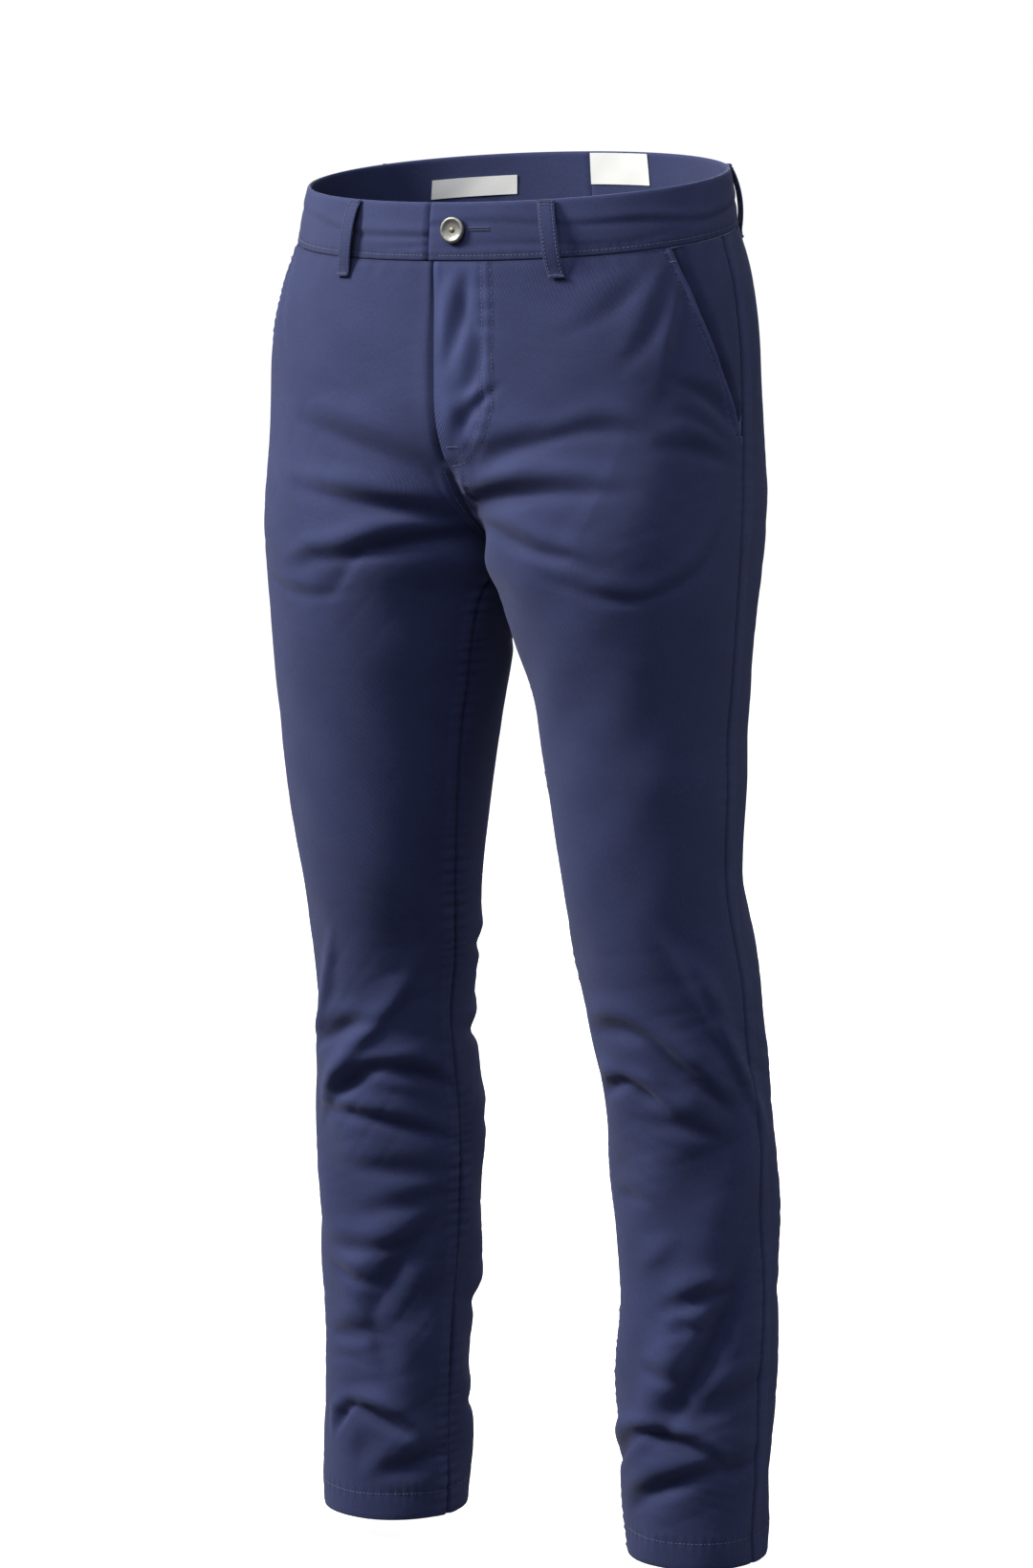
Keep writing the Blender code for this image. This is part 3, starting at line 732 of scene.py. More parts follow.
def weave_group() -> bpy.types.NodeTree:
    """Return the twill weave node group, built the first time it is asked for.

    Returns:
        A group with Deep, Worn and Pitch inputs and Color and Normal outputs.
    """
    name = "twill_weave"
    if name in bpy.data.node_groups:
        return bpy.data.node_groups[name]
    tree = bpy.data.node_groups.new(name, "ShaderNodeTree")
    for socket, way, kind in (
        ("Deep", "INPUT", "Color"),
        ("Worn", "INPUT", "Color"),
        ("Pitch", "INPUT", "Float"),
        ("Color", "OUTPUT", "Color"),
        ("Normal", "OUTPUT", "Vector"),
    ):
        tree.interface.new_socket(socket, in_out=way, socket_type=f"NodeSocket{kind}")
    given, result = tree.nodes.new("NodeGroupInput"), tree.nodes.new("NodeGroupOutput")

    # The twill's ribs lie aslant on the cloth, at the group's pitch in millimetres.
    place = add_node(tree, "UVMap")
    millimetres = add_node(tree, "VectorMath", {"Scale": 1000.0}, operation="SCALE")
    aslant = add_node(tree, "VectorRotate", {"Angle": math.radians(27)}, rotation_type="Z_AXIS")
    density = add_node(tree, "Math", {0: math.pi / 10}, operation="DIVIDE")
    uneven = {"Distortion": 1.2, "Detail": 1.0, "Detail Scale": 2.0}
    ribs = add_node(tree, "TexWave", uneven, wave_type="BANDS", bands_direction="X")
    wire(
        tree,
        (place.outputs["UV"], millimetres.inputs[0]),
        (millimetres.outputs[0], aslant.inputs["Vector"]),
        (given.outputs["Pitch"], density.inputs[1]),
        (aslant.outputs[0], ribs.inputs["Vector"]),
        (density.outputs[0], ribs.inputs["Scale"]),
    )

    # Uneven yarns run lengthwise, and the dye is faintly clouded over a few centimetres.
    lengthwise = add_node(tree, "VectorMath", {1: (1.0, 0.42, 1.0)}, operation="MULTIPLY")
    yarn = add_node(tree, "TexNoise", {"Scale": 0.75, "Detail": 3.0, "Roughness": 0.7})
    cloud = add_node(tree, "TexNoise", {"Scale": 0.035, "Detail": 4.0})
    faint = add_node(tree, "Math", {1: 0.5, 2: 0.25}, operation="MULTIPLY_ADD")
    wire(
        tree,
        (millimetres.outputs[0], lengthwise.inputs[0]),
        (lengthwise.outputs[0], yarn.inputs["Vector"]),
        (millimetres.outputs[0], cloud.inputs["Vector"]),
        (cloud.outputs["Fac"], faint.inputs[0]),
    )

    # All of it, and the stored wear and painted light (paler on rims and ridges, painted shade darker in grooves and
    # crease troughs), mixes the deep and the worn tone.
    rubbed = add_node(tree, "Attribute", attribute_name="rubbed")
    grain = add_node(tree, "Math", {1: 1.7}, operation="MULTIPLY_ADD")
    shade = add_node(tree, "Math", {1: 0.50}, operation="MULTIPLY_ADD")
    level = add_node(tree, "MapRange", {"From Min": 0.65, "From Max": 1.90, "To Max": 0.90})
    total = add_node(tree, "Math", operation="ADD", use_clamp=True)
    dye = add_node(tree, "Mix", data_type="RGBA")
    relief = add_node(tree, "Bump", {"Strength": 0.55, "Distance": 0.00025})
    wire(
        tree,
        (yarn.outputs["Fac"], grain.inputs[0]),
        (ribs.outputs["Fac"], grain.inputs[2]),
        (grain.outputs[0], shade.inputs[0]),
        (faint.outputs[0], shade.inputs[2]),
        (shade.outputs[0], level.inputs["Value"]),
        (level.outputs[0], total.inputs[0]),
        (rubbed.outputs["Fac"], total.inputs[1]),
        (total.outputs[0], dye.inputs["Factor"]),
        (given.outputs["Deep"], dye.inputs[6]),
        (given.outputs["Worn"], dye.inputs[7]),
        (dye.outputs[2], result.inputs["Color"]),
        (grain.outputs[0], relief.inputs["Height"]),
        (relief.outputs["Normal"], result.inputs["Normal"]),
    )
    return tree


@dataclass(frozen=True)
class ThreadFinish:
    """Sewing thread in the cloth's colour, a little paler and glossier."""

    name: str = "navy_thread"
    color: tuple[float, float, float] = (0.085, 0.102, 0.190)

    def material(self) -> bpy.types.Material:
        """Build the thread's material, mottled by its twist."""
        material, tree, shader = new_material(self.name, self.color, {"Roughness": 0.5, "Sheen Weight": 0.15})
        place = add_node(tree, "TexCoord")
        twist = add_node(tree, "TexNoise", {"Scale": 1400.0})
        tone = tone_ramp(tree, self.color, 0.7, 1.25)
        wire(
            tree,
            (place.outputs["Object"], twist.inputs["Vector"]),
            (twist.outputs["Fac"], tone.inputs["Fac"]),
            (tone.outputs["Color"], shader.inputs["Base Color"]),
        )
        return material


@dataclass(frozen=True)
class MetalFinish:
    """Cast and tumbled metal of the button."""

    name: str
    color: tuple[float, float, float]
    roughness: float

    def material(self) -> bpy.types.Material:
        """Build the metal, with the small dents of tumbling and darker hollows."""
        material, tree, shader = new_material(self.name, self.color, {"Metallic": 1.0})
        place = add_node(tree, "TexCoord")
        wear = add_node(tree, "TexNoise", {"Scale": 420.0, "Detail": 5.0})
        tone = tone_ramp(tree, self.color, 0.62, span=(0.3, 0.62))
        gloss = add_node(tree, "MapRange", {"To Min": self.roughness + 0.12, "To Max": self.roughness - 0.05})
        dents = add_node(tree, "Bump", {"Strength": 0.25, "Distance": 0.0002})
        wire(
            tree,
            (place.outputs["Object"], wear.inputs["Vector"]),
            (wear.outputs["Fac"], tone.inputs["Fac"]),
            (wear.outputs["Fac"], gloss.inputs["Value"]),
            (wear.outputs["Fac"], dents.inputs["Height"]),
            (tone.outputs["Color"], shader.inputs["Base Color"]),
            (gloss.outputs[0], shader.inputs["Roughness"]),
            (dents.outputs["Normal"], shader.inputs["Normal"]),
        )
        return material


@dataclass(frozen=True)
class LabelFinish:
    """White woven satin of the labels, with fine crosswise ribs."""

    name: str = "label_satin"
    color: tuple[float, float, float] = (0.69, 0.70, 0.71)

    def material(self) -> bpy.types.Material:
        """Build the label's material."""
        material, tree, shader = new_material(self.name, self.color, {"Roughness": 0.55, "Sheen Weight": 0.2})
        place = add_node(tree, "UVMap")
        ribs = add_node(tree, "TexWave", {"Scale": 500.0, "Distortion": 0.4}, bands_direction="Y")
        tone = tone_ramp(tree, self.color, 0.90)
        relief = add_node(tree, "Bump", {"Strength": 0.3, "Distance": 0.0001})
        wire(
            tree,
            (place.outputs["UV"], ribs.inputs["Vector"]),
            (ribs.outputs["Fac"], tone.inputs["Fac"]),
            (ribs.outputs["Fac"], relief.inputs["Height"]),
            (tone.outputs["Color"], shader.inputs["Base Color"]),
            (relief.outputs["Normal"], shader.inputs["Normal"]),
        )
        return material


# ---------------------------------------------------------------- modelling


def deselect_all() -> None:
    """Leave nothing selected and no object active."""
    bpy.ops.object.select_all(action="DESELECT")
    bpy.context.view_layer.objects.active = None


def make_active(piece: bpy.types.Object) -> None:
    """Select one object alone and make it active."""
    deselect_all()
    piece.select_set(True)
    bpy.context.view_layer.objects.active = piece


@contextmanager
def editing(piece: bpy.types.Object) -> Iterator[None]:
    """Open the whole of a piece's mesh for editing, and close it afterwards.

    Args:
        piece: The piece, which becomes the only one selected.

    Yields:
        Nothing; the mesh is open, with all of it selected, while the block runs.
    """
    make_active(piece)
    bpy.ops.object.mode_set(mode="EDIT")
    bpy.ops.mesh.select_all(action="SELECT")
    yield
    bpy.ops.object.mode_set(mode="OBJECT")


def grid_mesh(name: str, places: Array, uv: Array, away: Array) -> bpy.types.Object:
    """Add a grid and lay its vertices on rows of places.

    Args:
        name: The piece's name.
        places: Rows of points of one face of the piece.
        uv: The same rows as lengths along the cloth, in metres.
        away: The same rows as directions that the face looks in.

    Returns:
        The new object, with its faces looking away.
    """
    rows, columns = places.shape[:2]
    deselect_all()
    bpy.ops.mesh.primitive_grid_add(x_subdivisions=columns - 1, y_subdivisions=rows - 1, size=1)
    piece = bpy.context.active_object
    piece.name = name
    mesh = piece.data
    mesh.name = name
    mesh.vertices.foreach_set("co", places.reshape(-1).astype(np.float32))
    corner = np.empty(len(mesh.loops), dtype=np.int32)
    mesh.loops.foreach_get("vertex_index", corner)
    mesh.uv_layers.active.data.foreach_set("uv", uv.reshape(-1, 2)[corner].reshape(-1).astype(np.float32))
    mesh.update()
    normals = np.empty(len(mesh.polygons) * 3, dtype=np.float32)
    mesh.polygons.foreach_get("normal", normals)
    start = np.empty(len(mesh.polygons), dtype=np.int32)
    mesh.polygons.foreach_get("loop_start", start)
    looks = away.reshape(-1, 3)[corner[start]]
    if float((normals.reshape(-1, 3) * looks).sum()) < 0:
        with editing(piece):
            bpy.ops.mesh.flip_normals()
    return piece


def rub(piece: bpy.types.Object, rubbed: Array) -> None:
    """Store at each vertex of a piece its rubbed wear and painted light: paler on rims, painted shade in grooves."""
    layer = piece.data.attributes.new("rubbed", "FLOAT", "POINT")
    layer.data.foreach_set("value", rubbed.reshape(-1).astype(np.float32))


def lay_cloth(
    name: str,
    places: Array,
    uv: Array,
    away: Array,
    thickness: float,
    outside: bpy.types.Material,
    inside: bpy.types.Material,
    closed: bool = False,
    rubbed: Array | None = None,
) -> bpy.types.Object:
    """Model a cloth piece: a grid laid on its places, given its thickness inwards.

    Args:
        name: The piece's name.
        places: Rows of points of the outer face.
        uv: The same rows as lengths along the cloth, in metres.
        away: The same rows as outward directions.
        thickness: The cloth's thickness.
        outside: The material of the right side and the cut edges.
        inside: The material of the wrong side.
        closed: Whether each row is a closed ring, its last point on its first.
        rubbed: How much rubbed wear and painted highlight pale the dye at each place; below 0, painted shade darkens
            it.

    Returns:
        The new object, at the origin.
    """
    piece = grid_mesh(name, places, uv, away)
    if rubbed is not None:
        rub(piece, rubbed)
    piece.data.materials.append(outside)
    piece.data.materials.append(inside)
    make_active(piece)
    if closed:
        with editing(piece):
            bpy.ops.mesh.remove_doubles(threshold=0.00002)
    wall = piece.modifiers.new("Thickness", "SOLIDIFY")
    wall.thickness = thickness
    wall.offset = -1.0
    wall.material_offset = 1
    wall.material_offset_rim = 0
    bpy.ops.object.modifier_apply(modifier=wall.name)
    bpy.ops.object.shade_smooth_by_angle(angle=math.radians(60))
    return piece


def lay_band(
    name: str,
    sections: Array,
    uv: Array,
    away: Array,
    material: bpy.types.Material,
    rubbed: Array | None = None,
) -> bpy.types.Object:
    """Model a folded strip as a closed tube of sections, its two ends closed.

    Args:
        name: The piece's name.
        sections: One closed ring of points for each station, last point on the first.
        uv: The same rings as lengths along the cloth, in metres.
        away: The same rings as outward directions.
        material: The strip's cloth.
        rubbed: How much rubbed wear and painted highlight pale the dye at each place; below 0, painted shade darkens
            it.

    Returns:
        The new object, at the origin.
    """
    piece = grid_mesh(name, sections, uv, away)
    if rubbed is not None:
        rub(piece, rubbed)
    piece.data.materials.append(material)
    with editing(piece):
        bpy.ops.mesh.remove_doubles(threshold=0.00001)
        bpy.ops.mesh.select_all(action="DESELECT")
        bpy.ops.mesh.select_non_manifold(extend=False)
        bpy.ops.mesh.fill_holes(sides=0)
        bpy.ops.mesh.select_all(action="SELECT")
        bpy.ops.mesh.normals_make_consistent(inside=False)
    bpy.ops.object.shade_smooth_by_angle(angle=math.radians(50))
    return piece


def strip_section(width: float, wall: float, across: int) -> Array:
    """Return a closed ring round a strip: + x across it, + y out of it, edges rounded.

    Args:
        width: The strip's width.
        wall: Its thickness, with y 0 on its inner face.
        across: How many cells its outer and inner faces have.

    Returns:
        The ring's points, the last one on the first.
    """
    flat = width / 2 - wall / 2
    outer = [(x, wall) for x in np.linspace(flat, -flat, across + 1)]
    left = [
        (-flat - wall / 2 * math.sin(a), wall / 2 + wall / 2 * math.cos(a))
        for a in (math.pi / 4, math.pi / 2, 3 * math.pi / 4)
    ]
    inner = [(x, 0.0) for x in np.linspace(-flat, flat, across + 1)]
    right = [(-x, wall - y) for x, y in left]
    ring = outer + left + inner + right
    return np.array(ring + ring[:1])


@dataclass(frozen=True)
class StitchRow:
    """A row of lockstitches on a face: its line of places, pitch and thread."""

    places: Array
    away: Array
    pitch: float = 3.0 * MM
    share: float = 0.80
    radius: float = 0.24 * MM

    def stitches(self) -> tuple[list[Array], list[tuple[int, ...]]]:
        """Return each stitch as a small capsule of points, and the faces of one.

        Returns:
            A list of point arrays, and the shared list of faces.
        """
        sides = 6
        ends = np.linspace(0, 1, 5)
        swell = (0.45, 0.95, 1.0, 0.95, 0.45)
        sink = (-0.7, 0.35, 0.75, 0.35, -0.7)
        faces = [
            (r * sides + k, r * sides + (k + 1) % sides, (r + 1) * sides + (k + 1) % sides, (r + 1) * sides + k)
            for r in range(4)
            for k in range(sides)
        ]
        faces.append(tuple(reversed(range(sides))))
        faces.append(tuple(range(4 * sides, 5 * sides)))
        steps = np.linalg.norm(np.diff(self.places, axis=0), axis=1)
        run = np.concatenate([[0], np.cumsum(steps)])
        count = max(int(run[-1] / self.pitch), 1)
        pitch = run[-1] / count
        blocks = []
        for n in range(count):
            at = (n + 0.5 - self.share / 2 + self.share * ends) * pitch
            core = np.stack([np.interp(at, run, self.places[:, k]) for k in range(3)], axis=1)
            out = np.stack([np.interp(at, run, self.away[:, k]) for k in range(3)], axis=1)
            out /= np.linalg.norm(out, axis=1, keepdims=True)
            along = core[-1] - core[0]
            along /= max(np.linalg.norm(along), 1e-9)
            beside = np.cross(along, out)
            turn = np.arange(sides) * math.tau / sides
            core = core + out * (np.array(sink) * self.radius)[:, None]
            ring = (
                beside[:, None] * np.cos(turn)[None, :, None] + out[:, None] * np.sin(turn)[None, :, None]
            ) * (np.array(swell) * self.radius)[:, None, None]
            blocks.append((core[:, None] + ring).reshape(-1, 3))
        return blocks, faces


def sew(name: str, rows: Sequence[StitchRow], thread: bpy.types.Material) -> bpy.types.Object:
    """Join all the stitches of some rows as one mesh.

    Args:
        name: The piece's name.
        rows: The rows of stitches.
        thread: The thread's material.

    Returns:
        The new object, at the origin.
    """
    points: list[Array] = []
    faces: list[tuple[int, ...]] = []
    first = 0
    for row in rows:
        blocks, shape = row.stitches()
        for block in blocks:
            points.append(block)
            faces.extend(tuple(first + k for k in face) for face in shape)
            first += len(block)
    mesh = bpy.data.meshes.new(name)
    mesh.from_pydata(np.concatenate(points).tolist(), [], faces)
    piece = bpy.data.objects.new(name, mesh)
    bpy.context.collection.objects.link(piece)
    mesh.materials.append(thread)
    with editing(piece):
        bpy.ops.mesh.normals_make_consistent(inside=False)
    bpy.ops.object.shade_smooth()
    return piece


# ---------------------------------------------------------------- the garment


@dataclass
class Tailor:
    """What every sub-assembly is made with: the form and the finishes."""

    form: Form
    cloth: bpy.types.Material
    inside: bpy.types.Material
    thread: bpy.types.Material
    metal: bpy.types.Material
    brass: bpy.types.Material
    satin: bpy.types.Material

    def relief(self, side: Side, level: Array, t: Array) -> Array:
        """Return how far seams, edges and puckers push a leg panel's face out.

        Args:
            side: The wearer's side.
            level: Heights at the side seam.
            t: Places round the side.

        Returns:
            The push, in metres, + outwards.
        """
        form = self.form
        front = t < 0
        girth = np.where(front, form.girth(side, Half.FRONT, level), form.girth(side, Half.BACK, level))
        from_out = np.abs(t) * girth
        from_end = np.clip(1 - np.abs(t), 0, None) * girth
        ripple = self._ripple(side, level)
        push = -1.3 * MM * bump(from_out, 1.7 * MM)
        push = push + np.where(front, 0.10, 0.45) * MM * smooth((13 * MM - from_out) / (4 * MM))
        push = push + 0.30 * MM * ripple * bump(from_out - 5 * MM, 6 * MM)
        inseam = smooth((CROTCH - level + 4 * MM) / (8 * MM))
        push = push + inseam * (
            -1.5 * MM * bump(from_end, 1.9 * MM)
            + 0.85 * MM * ripple * bump(from_end - 5 * MM, 8 * MM)
            + np.where(front, 0.40, 0.10) * MM * smooth((12 * MM - from_end) / (3 * MM))
        )
        rise = (1 - inseam) * np.where(front, smooth((FLY_FOOT - level) / (6 * MM)), 1.0)
        push = push + rise * (
            -1.0 * MM * bump(from_end, 1.6 * MM)
            + 0.45 * MM * bump(from_end - 4.8 * MM, 2.2 * MM)
            - 0.50 * MM * bump(from_end - SECOND_ROW, 1.2 * MM)
            + 0.50 * MM * ripple * bump(from_end - 7 * MM, 8 * MM)
        )
        below = BODY_TOP - level
        gather = np.sin(math.tau * from_out / (19 * MM) + 3.4 * np.sin(from_out / (23 * MM) + side.value))
        push = push - 0.8 * MM * bump(below, 2.0 * MM) + 0.12 * MM * gather * bump(below - 6 * MM, 8 * MM)
        up = level - HEM
        push = push - 0.35 * MM * bump(up - HEM_STITCH, 1.1 * MM) - 0.5 * MM * bump(up, 1.2 * MM)
        wave = np.sin(math.tau * from_out / (6.5 * MM) + 3 * np.sin(from_out / (23 * MM)))
        push = push + 0.22 * MM * wave * bump(up - HEM_STITCH, 6 * MM)
        return push

    def _ripple(self, side: Side, level: Array) -> Array:
        """Return the uneven puckers along a lengthwise seam, from -1 to 1."""
        drift = side.value * 1.3
        beat = np.sin(level / (19 * MM) + drift) + 0.6 * np.sin(level / (7.7 * MM) + 2 * drift)
        return np.sin(math.tau * level / (8.2 * MM) + 1.8 * beat) * (0.6 + 0.4 * np.sin(level / (33 * MM) + drift))

    def pocket_relief(self, side: Side, level: Array, t: Array) -> Array:
        """Return the rim of the slant pocket and its stitched, beaded line.

        Args:
            side: The wearer's side.
            level: Heights at the side seam.
            t: Places round the side.

        Returns:
            The push, in metres.
        """
        girth = self.form.girth(side, Half.FRONT, level)
        within = (pocket_edge(level) - t) * girth
        above = smooth((level - POCKET_FOOT + 3 * MM) / (6 * MM)) * np.where(t < 0, 1.0, 0.0)
        bead = np.sin(math.tau * level / (6.3 * MM) + 1.4 * np.sin(level / (11 * MM)))
        rim = (
            0.6 * MM * smooth((11 * MM - within) / (3 * MM)) * smooth((within + 1 * MM) / (2 * MM))
            + 0.8 * MM * bump(within - 3.6 * MM, 2.0 * MM)
            - 0.85 * MM * bump(within - POCKET_STITCH, 1.2 * MM)
            - 0.6 * MM * bump(within, 0.9 * MM)
            + 0.50 * MM * bead * bump(within - 5.5 * MM, 3.5 * MM)
            + 1.4 * MM * bump(level - POCKET_FOOT - 24 * MM, 17 * MM) * smooth((14 * MM - within) / (12 * MM))
        )
        return above * rim

    def fly_relief(self, side: Side, level: Array, t: Array) -> Array:
        """Return the fly: the left front stands over the right, stitched in a J.

        Args:
            side: The wearer's side.
            level: Heights at the side seam.
            t: Places round the side.

        Returns:
            The push, in metres.
        """
        girth = self.form.girth(side, Half.FRONT, level)
        from_end = (1 + t) * girth
        above = smooth((level - FLY_FOOT) / (8 * MM)) * np.where(t < 0, 1.0, 0.0)
        if side is Side.RIGHT:
            under = -2.6 * MM * smooth((2.8 * MM - from_end) / (2.2 * MM))
            return above * (under + 0.3 * MM * bump(from_end - 5 * MM, 3 * MM))
        reach = fly_reach(level)
        ripple = np.sin(math.tau * level / (21 * MM) + 2.6 * np.sin(level / (13 * MM)))
        ripple = ripple + 0.4 * np.sin(level / (2.1 * MM))
        raised = 0.8 * MM * smooth((reach + 1 * MM - from_end) / (2.5 * MM))
        lines = -0.80 * MM * (bump(from_end - reach, 1.1 * MM) + bump(from_end - reach + FLY_ROWS, 1.1 * MM))
        edge = 0.7 * MM * smooth((5 * MM - from_end) / (3 * MM)) - 0.4 * MM * bump(from_end, 0.7 * MM)
        return above * (raised + lines + edge + 0.36 * MM * ripple * bump(from_end - reach + 3 * MM, 5 * MM))

    def rubbed(self, side: Side, level: Array, t: Array) -> Array:
        """Return the dye's rubbed wear and painted light: paler on rims and ridges, painted shade darker in grooves
        and crease troughs.
        """
        push = self.relief(side, level, t) + self.pocket_relief(side, level, t) + self.fly_relief(side, level, t)
        crease = self.form.creases(side, level, t)
        return 0.38 * np.clip(push / MM, -1.6, 1.2) + 0.05 * np.clip(crease / MM, -3, 2)

    def face(self, side: Side, level: Array, t: Array, lift: Array | float = 0.0) -> tuple[Array, Array]:
        """Return places on the panels' finished outer face, and its outward directions.

        Args:
            side: The wearer's side.
            level: Heights at the side seam.
            t: Places round the side; past -1 or 1 they carry on across the centre.
            lift: How far the places stand off the face.

        Returns:
            The places and the outward directions.
        """
        level, t = np.broadcast_arrays(np.asarray(level, float), np.asarray(t, float))
        held = np.clip(t, -1, 1)
        push = (
            self.form.creases(side, level, held)
            + self.relief(side, level, held)
            + self.pocket_relief(side, level, held)
            + self.fly_relief(side, level, held)
            + lift
        )
        base, away = self.form.past_centre(side, level, t)
        end_length = np.where(
            t < 0, self.form.girth(side, Half.FRONT, level), self.form.girth(side, Half.BACK, level)
        )
        shift = away * push[..., None]
        clear = smooth((1 - np.abs(held)) * end_length / (7 * MM))
        shift[..., 0] = shift[..., 0] * np.where(level > CROTCH, clear, 1.0)
        return base + shift, away

    def cloth_uv(self, side: Side, level: Array, t: Array) -> Array:
        """Return lengths along the cloth for its weave, which flows evenly past the fork.

        Args:
            side: The wearer's side.
            level: Heights at the side seam.
            t: Places round the side.

        Returns:
            Pairs of lengths, in metres.
        """
        form = self.form
        girth = sum(
            np.where(t < 0, form.girth(side, Half.FRONT, level + drop), form.girth(side, Half.BACK, level + drop))
            for drop in np.linspace(-90 * MM, 90 * MM, 13)
        ) / 13
        return np.stack([side.value * t * girth + 0.5, level + 1.1], axis=-1)


def spread(count: int, near: float) -> Array:
    """Return places from 0 to 1, closer together near both ends."""
    even = np.linspace(0, 1, count)
    return (1 - near) * even + near * (1 - np.cos(math.pi * even)) / 2


@dataclass
class LegPanel:
    """A front or a back of one leg, from the waist seam to the hem."""

    side: Side
    half: Half
    columns: int = 104
    rows: int = 330

    @property
    def name(self) -> str:
        """Return the piece's name."""
        return f"{self.half.name.lower()}_{self.side.word}"

    def build(self, tailor: Tailor) -> bpy.types.Object:
        """Model the panel and let it stand for its solids.

        Args:
            tailor: The form and the finishes.

        Returns:
            The panel.
        """
        level = BODY_TOP + (HEM - BODY_TOP) * spread(self.rows, 0.12)[:, None]
        share = spread(self.columns, 0.45)[None, :]
        if self.half is Half.FRONT:
            lap = 0.2 * MM * smooth((level - FLY_FOOT) / (6 * MM)) if self.side is Side.LEFT else 0.0
            first = -1 - lap / tailor.form.girth(self.side, self.half, level)
            last = pocket_edge(level)
        else:
            first, last = np.zeros_like(level), np.ones_like(level)
        t = first + (last - first) * share
        level = np.broadcast_to(level, t.shape)
        places, away = tailor.face(self.side, level, t)
        uv = tailor.cloth_uv(self.side, level, t)
        # Painted light on the panel: paler on seam rims and crease ridges, partly rubbed wear, and painted shade in
        # stitch grooves and crease troughs.
        rubbed = tailor.rubbed(self.side, level, np.clip(t, -1, 1))
        piece = lay_cloth(self.name, places, uv, away, CLOTH, tailor.cloth, tailor.inside, rubbed=rubbed)
        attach(piece, BODY)
        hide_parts(f"{self.name}_upper", f"{self.name}_lower")
        f"waistband_{self.side.word}"
        return piece


@dataclass
class PocketFacing:
    """The slant pocket's facing, seen between the front's edge and the side seam."""

    side: Side
    columns: int = 36
    rows: int = 70

    def build(self, tailor: Tailor) -> bpy.types.Object:
        """Model the facing, flush at the side seam and tucked in under the front.

        Args:
            tailor: The form and the finishes.

        Returns:
            The facing.
        """
        level = (BODY_TOP + (POCKET_FOOT - BODY_TOP + 1 * MM) * np.linspace(0, 1, self.rows))[:, None]
        girth = tailor.form.girth(self.side, Half.FRONT, level)
        edge = pocket_edge(level)
        first, last = edge - POCKET_TUCK / girth, -SEAM / 2 / girth
        t = first + (last - first) * np.linspace(0, 1, self.columns)[None, :]
        level = np.broadcast_to(level, t.shape)
        clear = (t - edge) * girth
        drop = (CLOTH + 2.6 * SEAM) * (1 - smooth((clear - 2 * MM) / (12 * MM)))
        held = np.clip(t, -1, 1)
        form = tailor.form
        push = form.creases(self.side, level, held) + tailor.relief(self.side, level, held) - drop
        fold = np.sin(level / (6.5 * MM) + 2.0 * np.sin(clear / (9 * MM)))
        push = push - 2.4 * MM * smooth((14 * MM - clear) / (12 * MM))
        push = push + 0.45 * MM * fold * bump(clear - 22 * MM, 16 * MM) * smooth((last - t) * girth / (5 * MM))
        away = form.outward(self.side, level, held)
        places = form.bare(self.side, level, held) + away * push[..., None]
        uv = tailor.cloth_uv(self.side, level, t)
        name = f"pocket_facing_{self.side.word}"
        # Painted shade: the facing is darker towards the front's edge, where it tucks under, and a little darker all
        # over.
        dark = -0.42 * smooth((16 * MM - clear) / (14 * MM)) - 0.10
        piece = lay_cloth(name, places, uv, away, CLOTH, tailor.cloth, tailor.inside, rubbed=dark)
        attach(piece, BODY)
        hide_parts(name)
        front = f"front_{self.side.word}"
        return piece


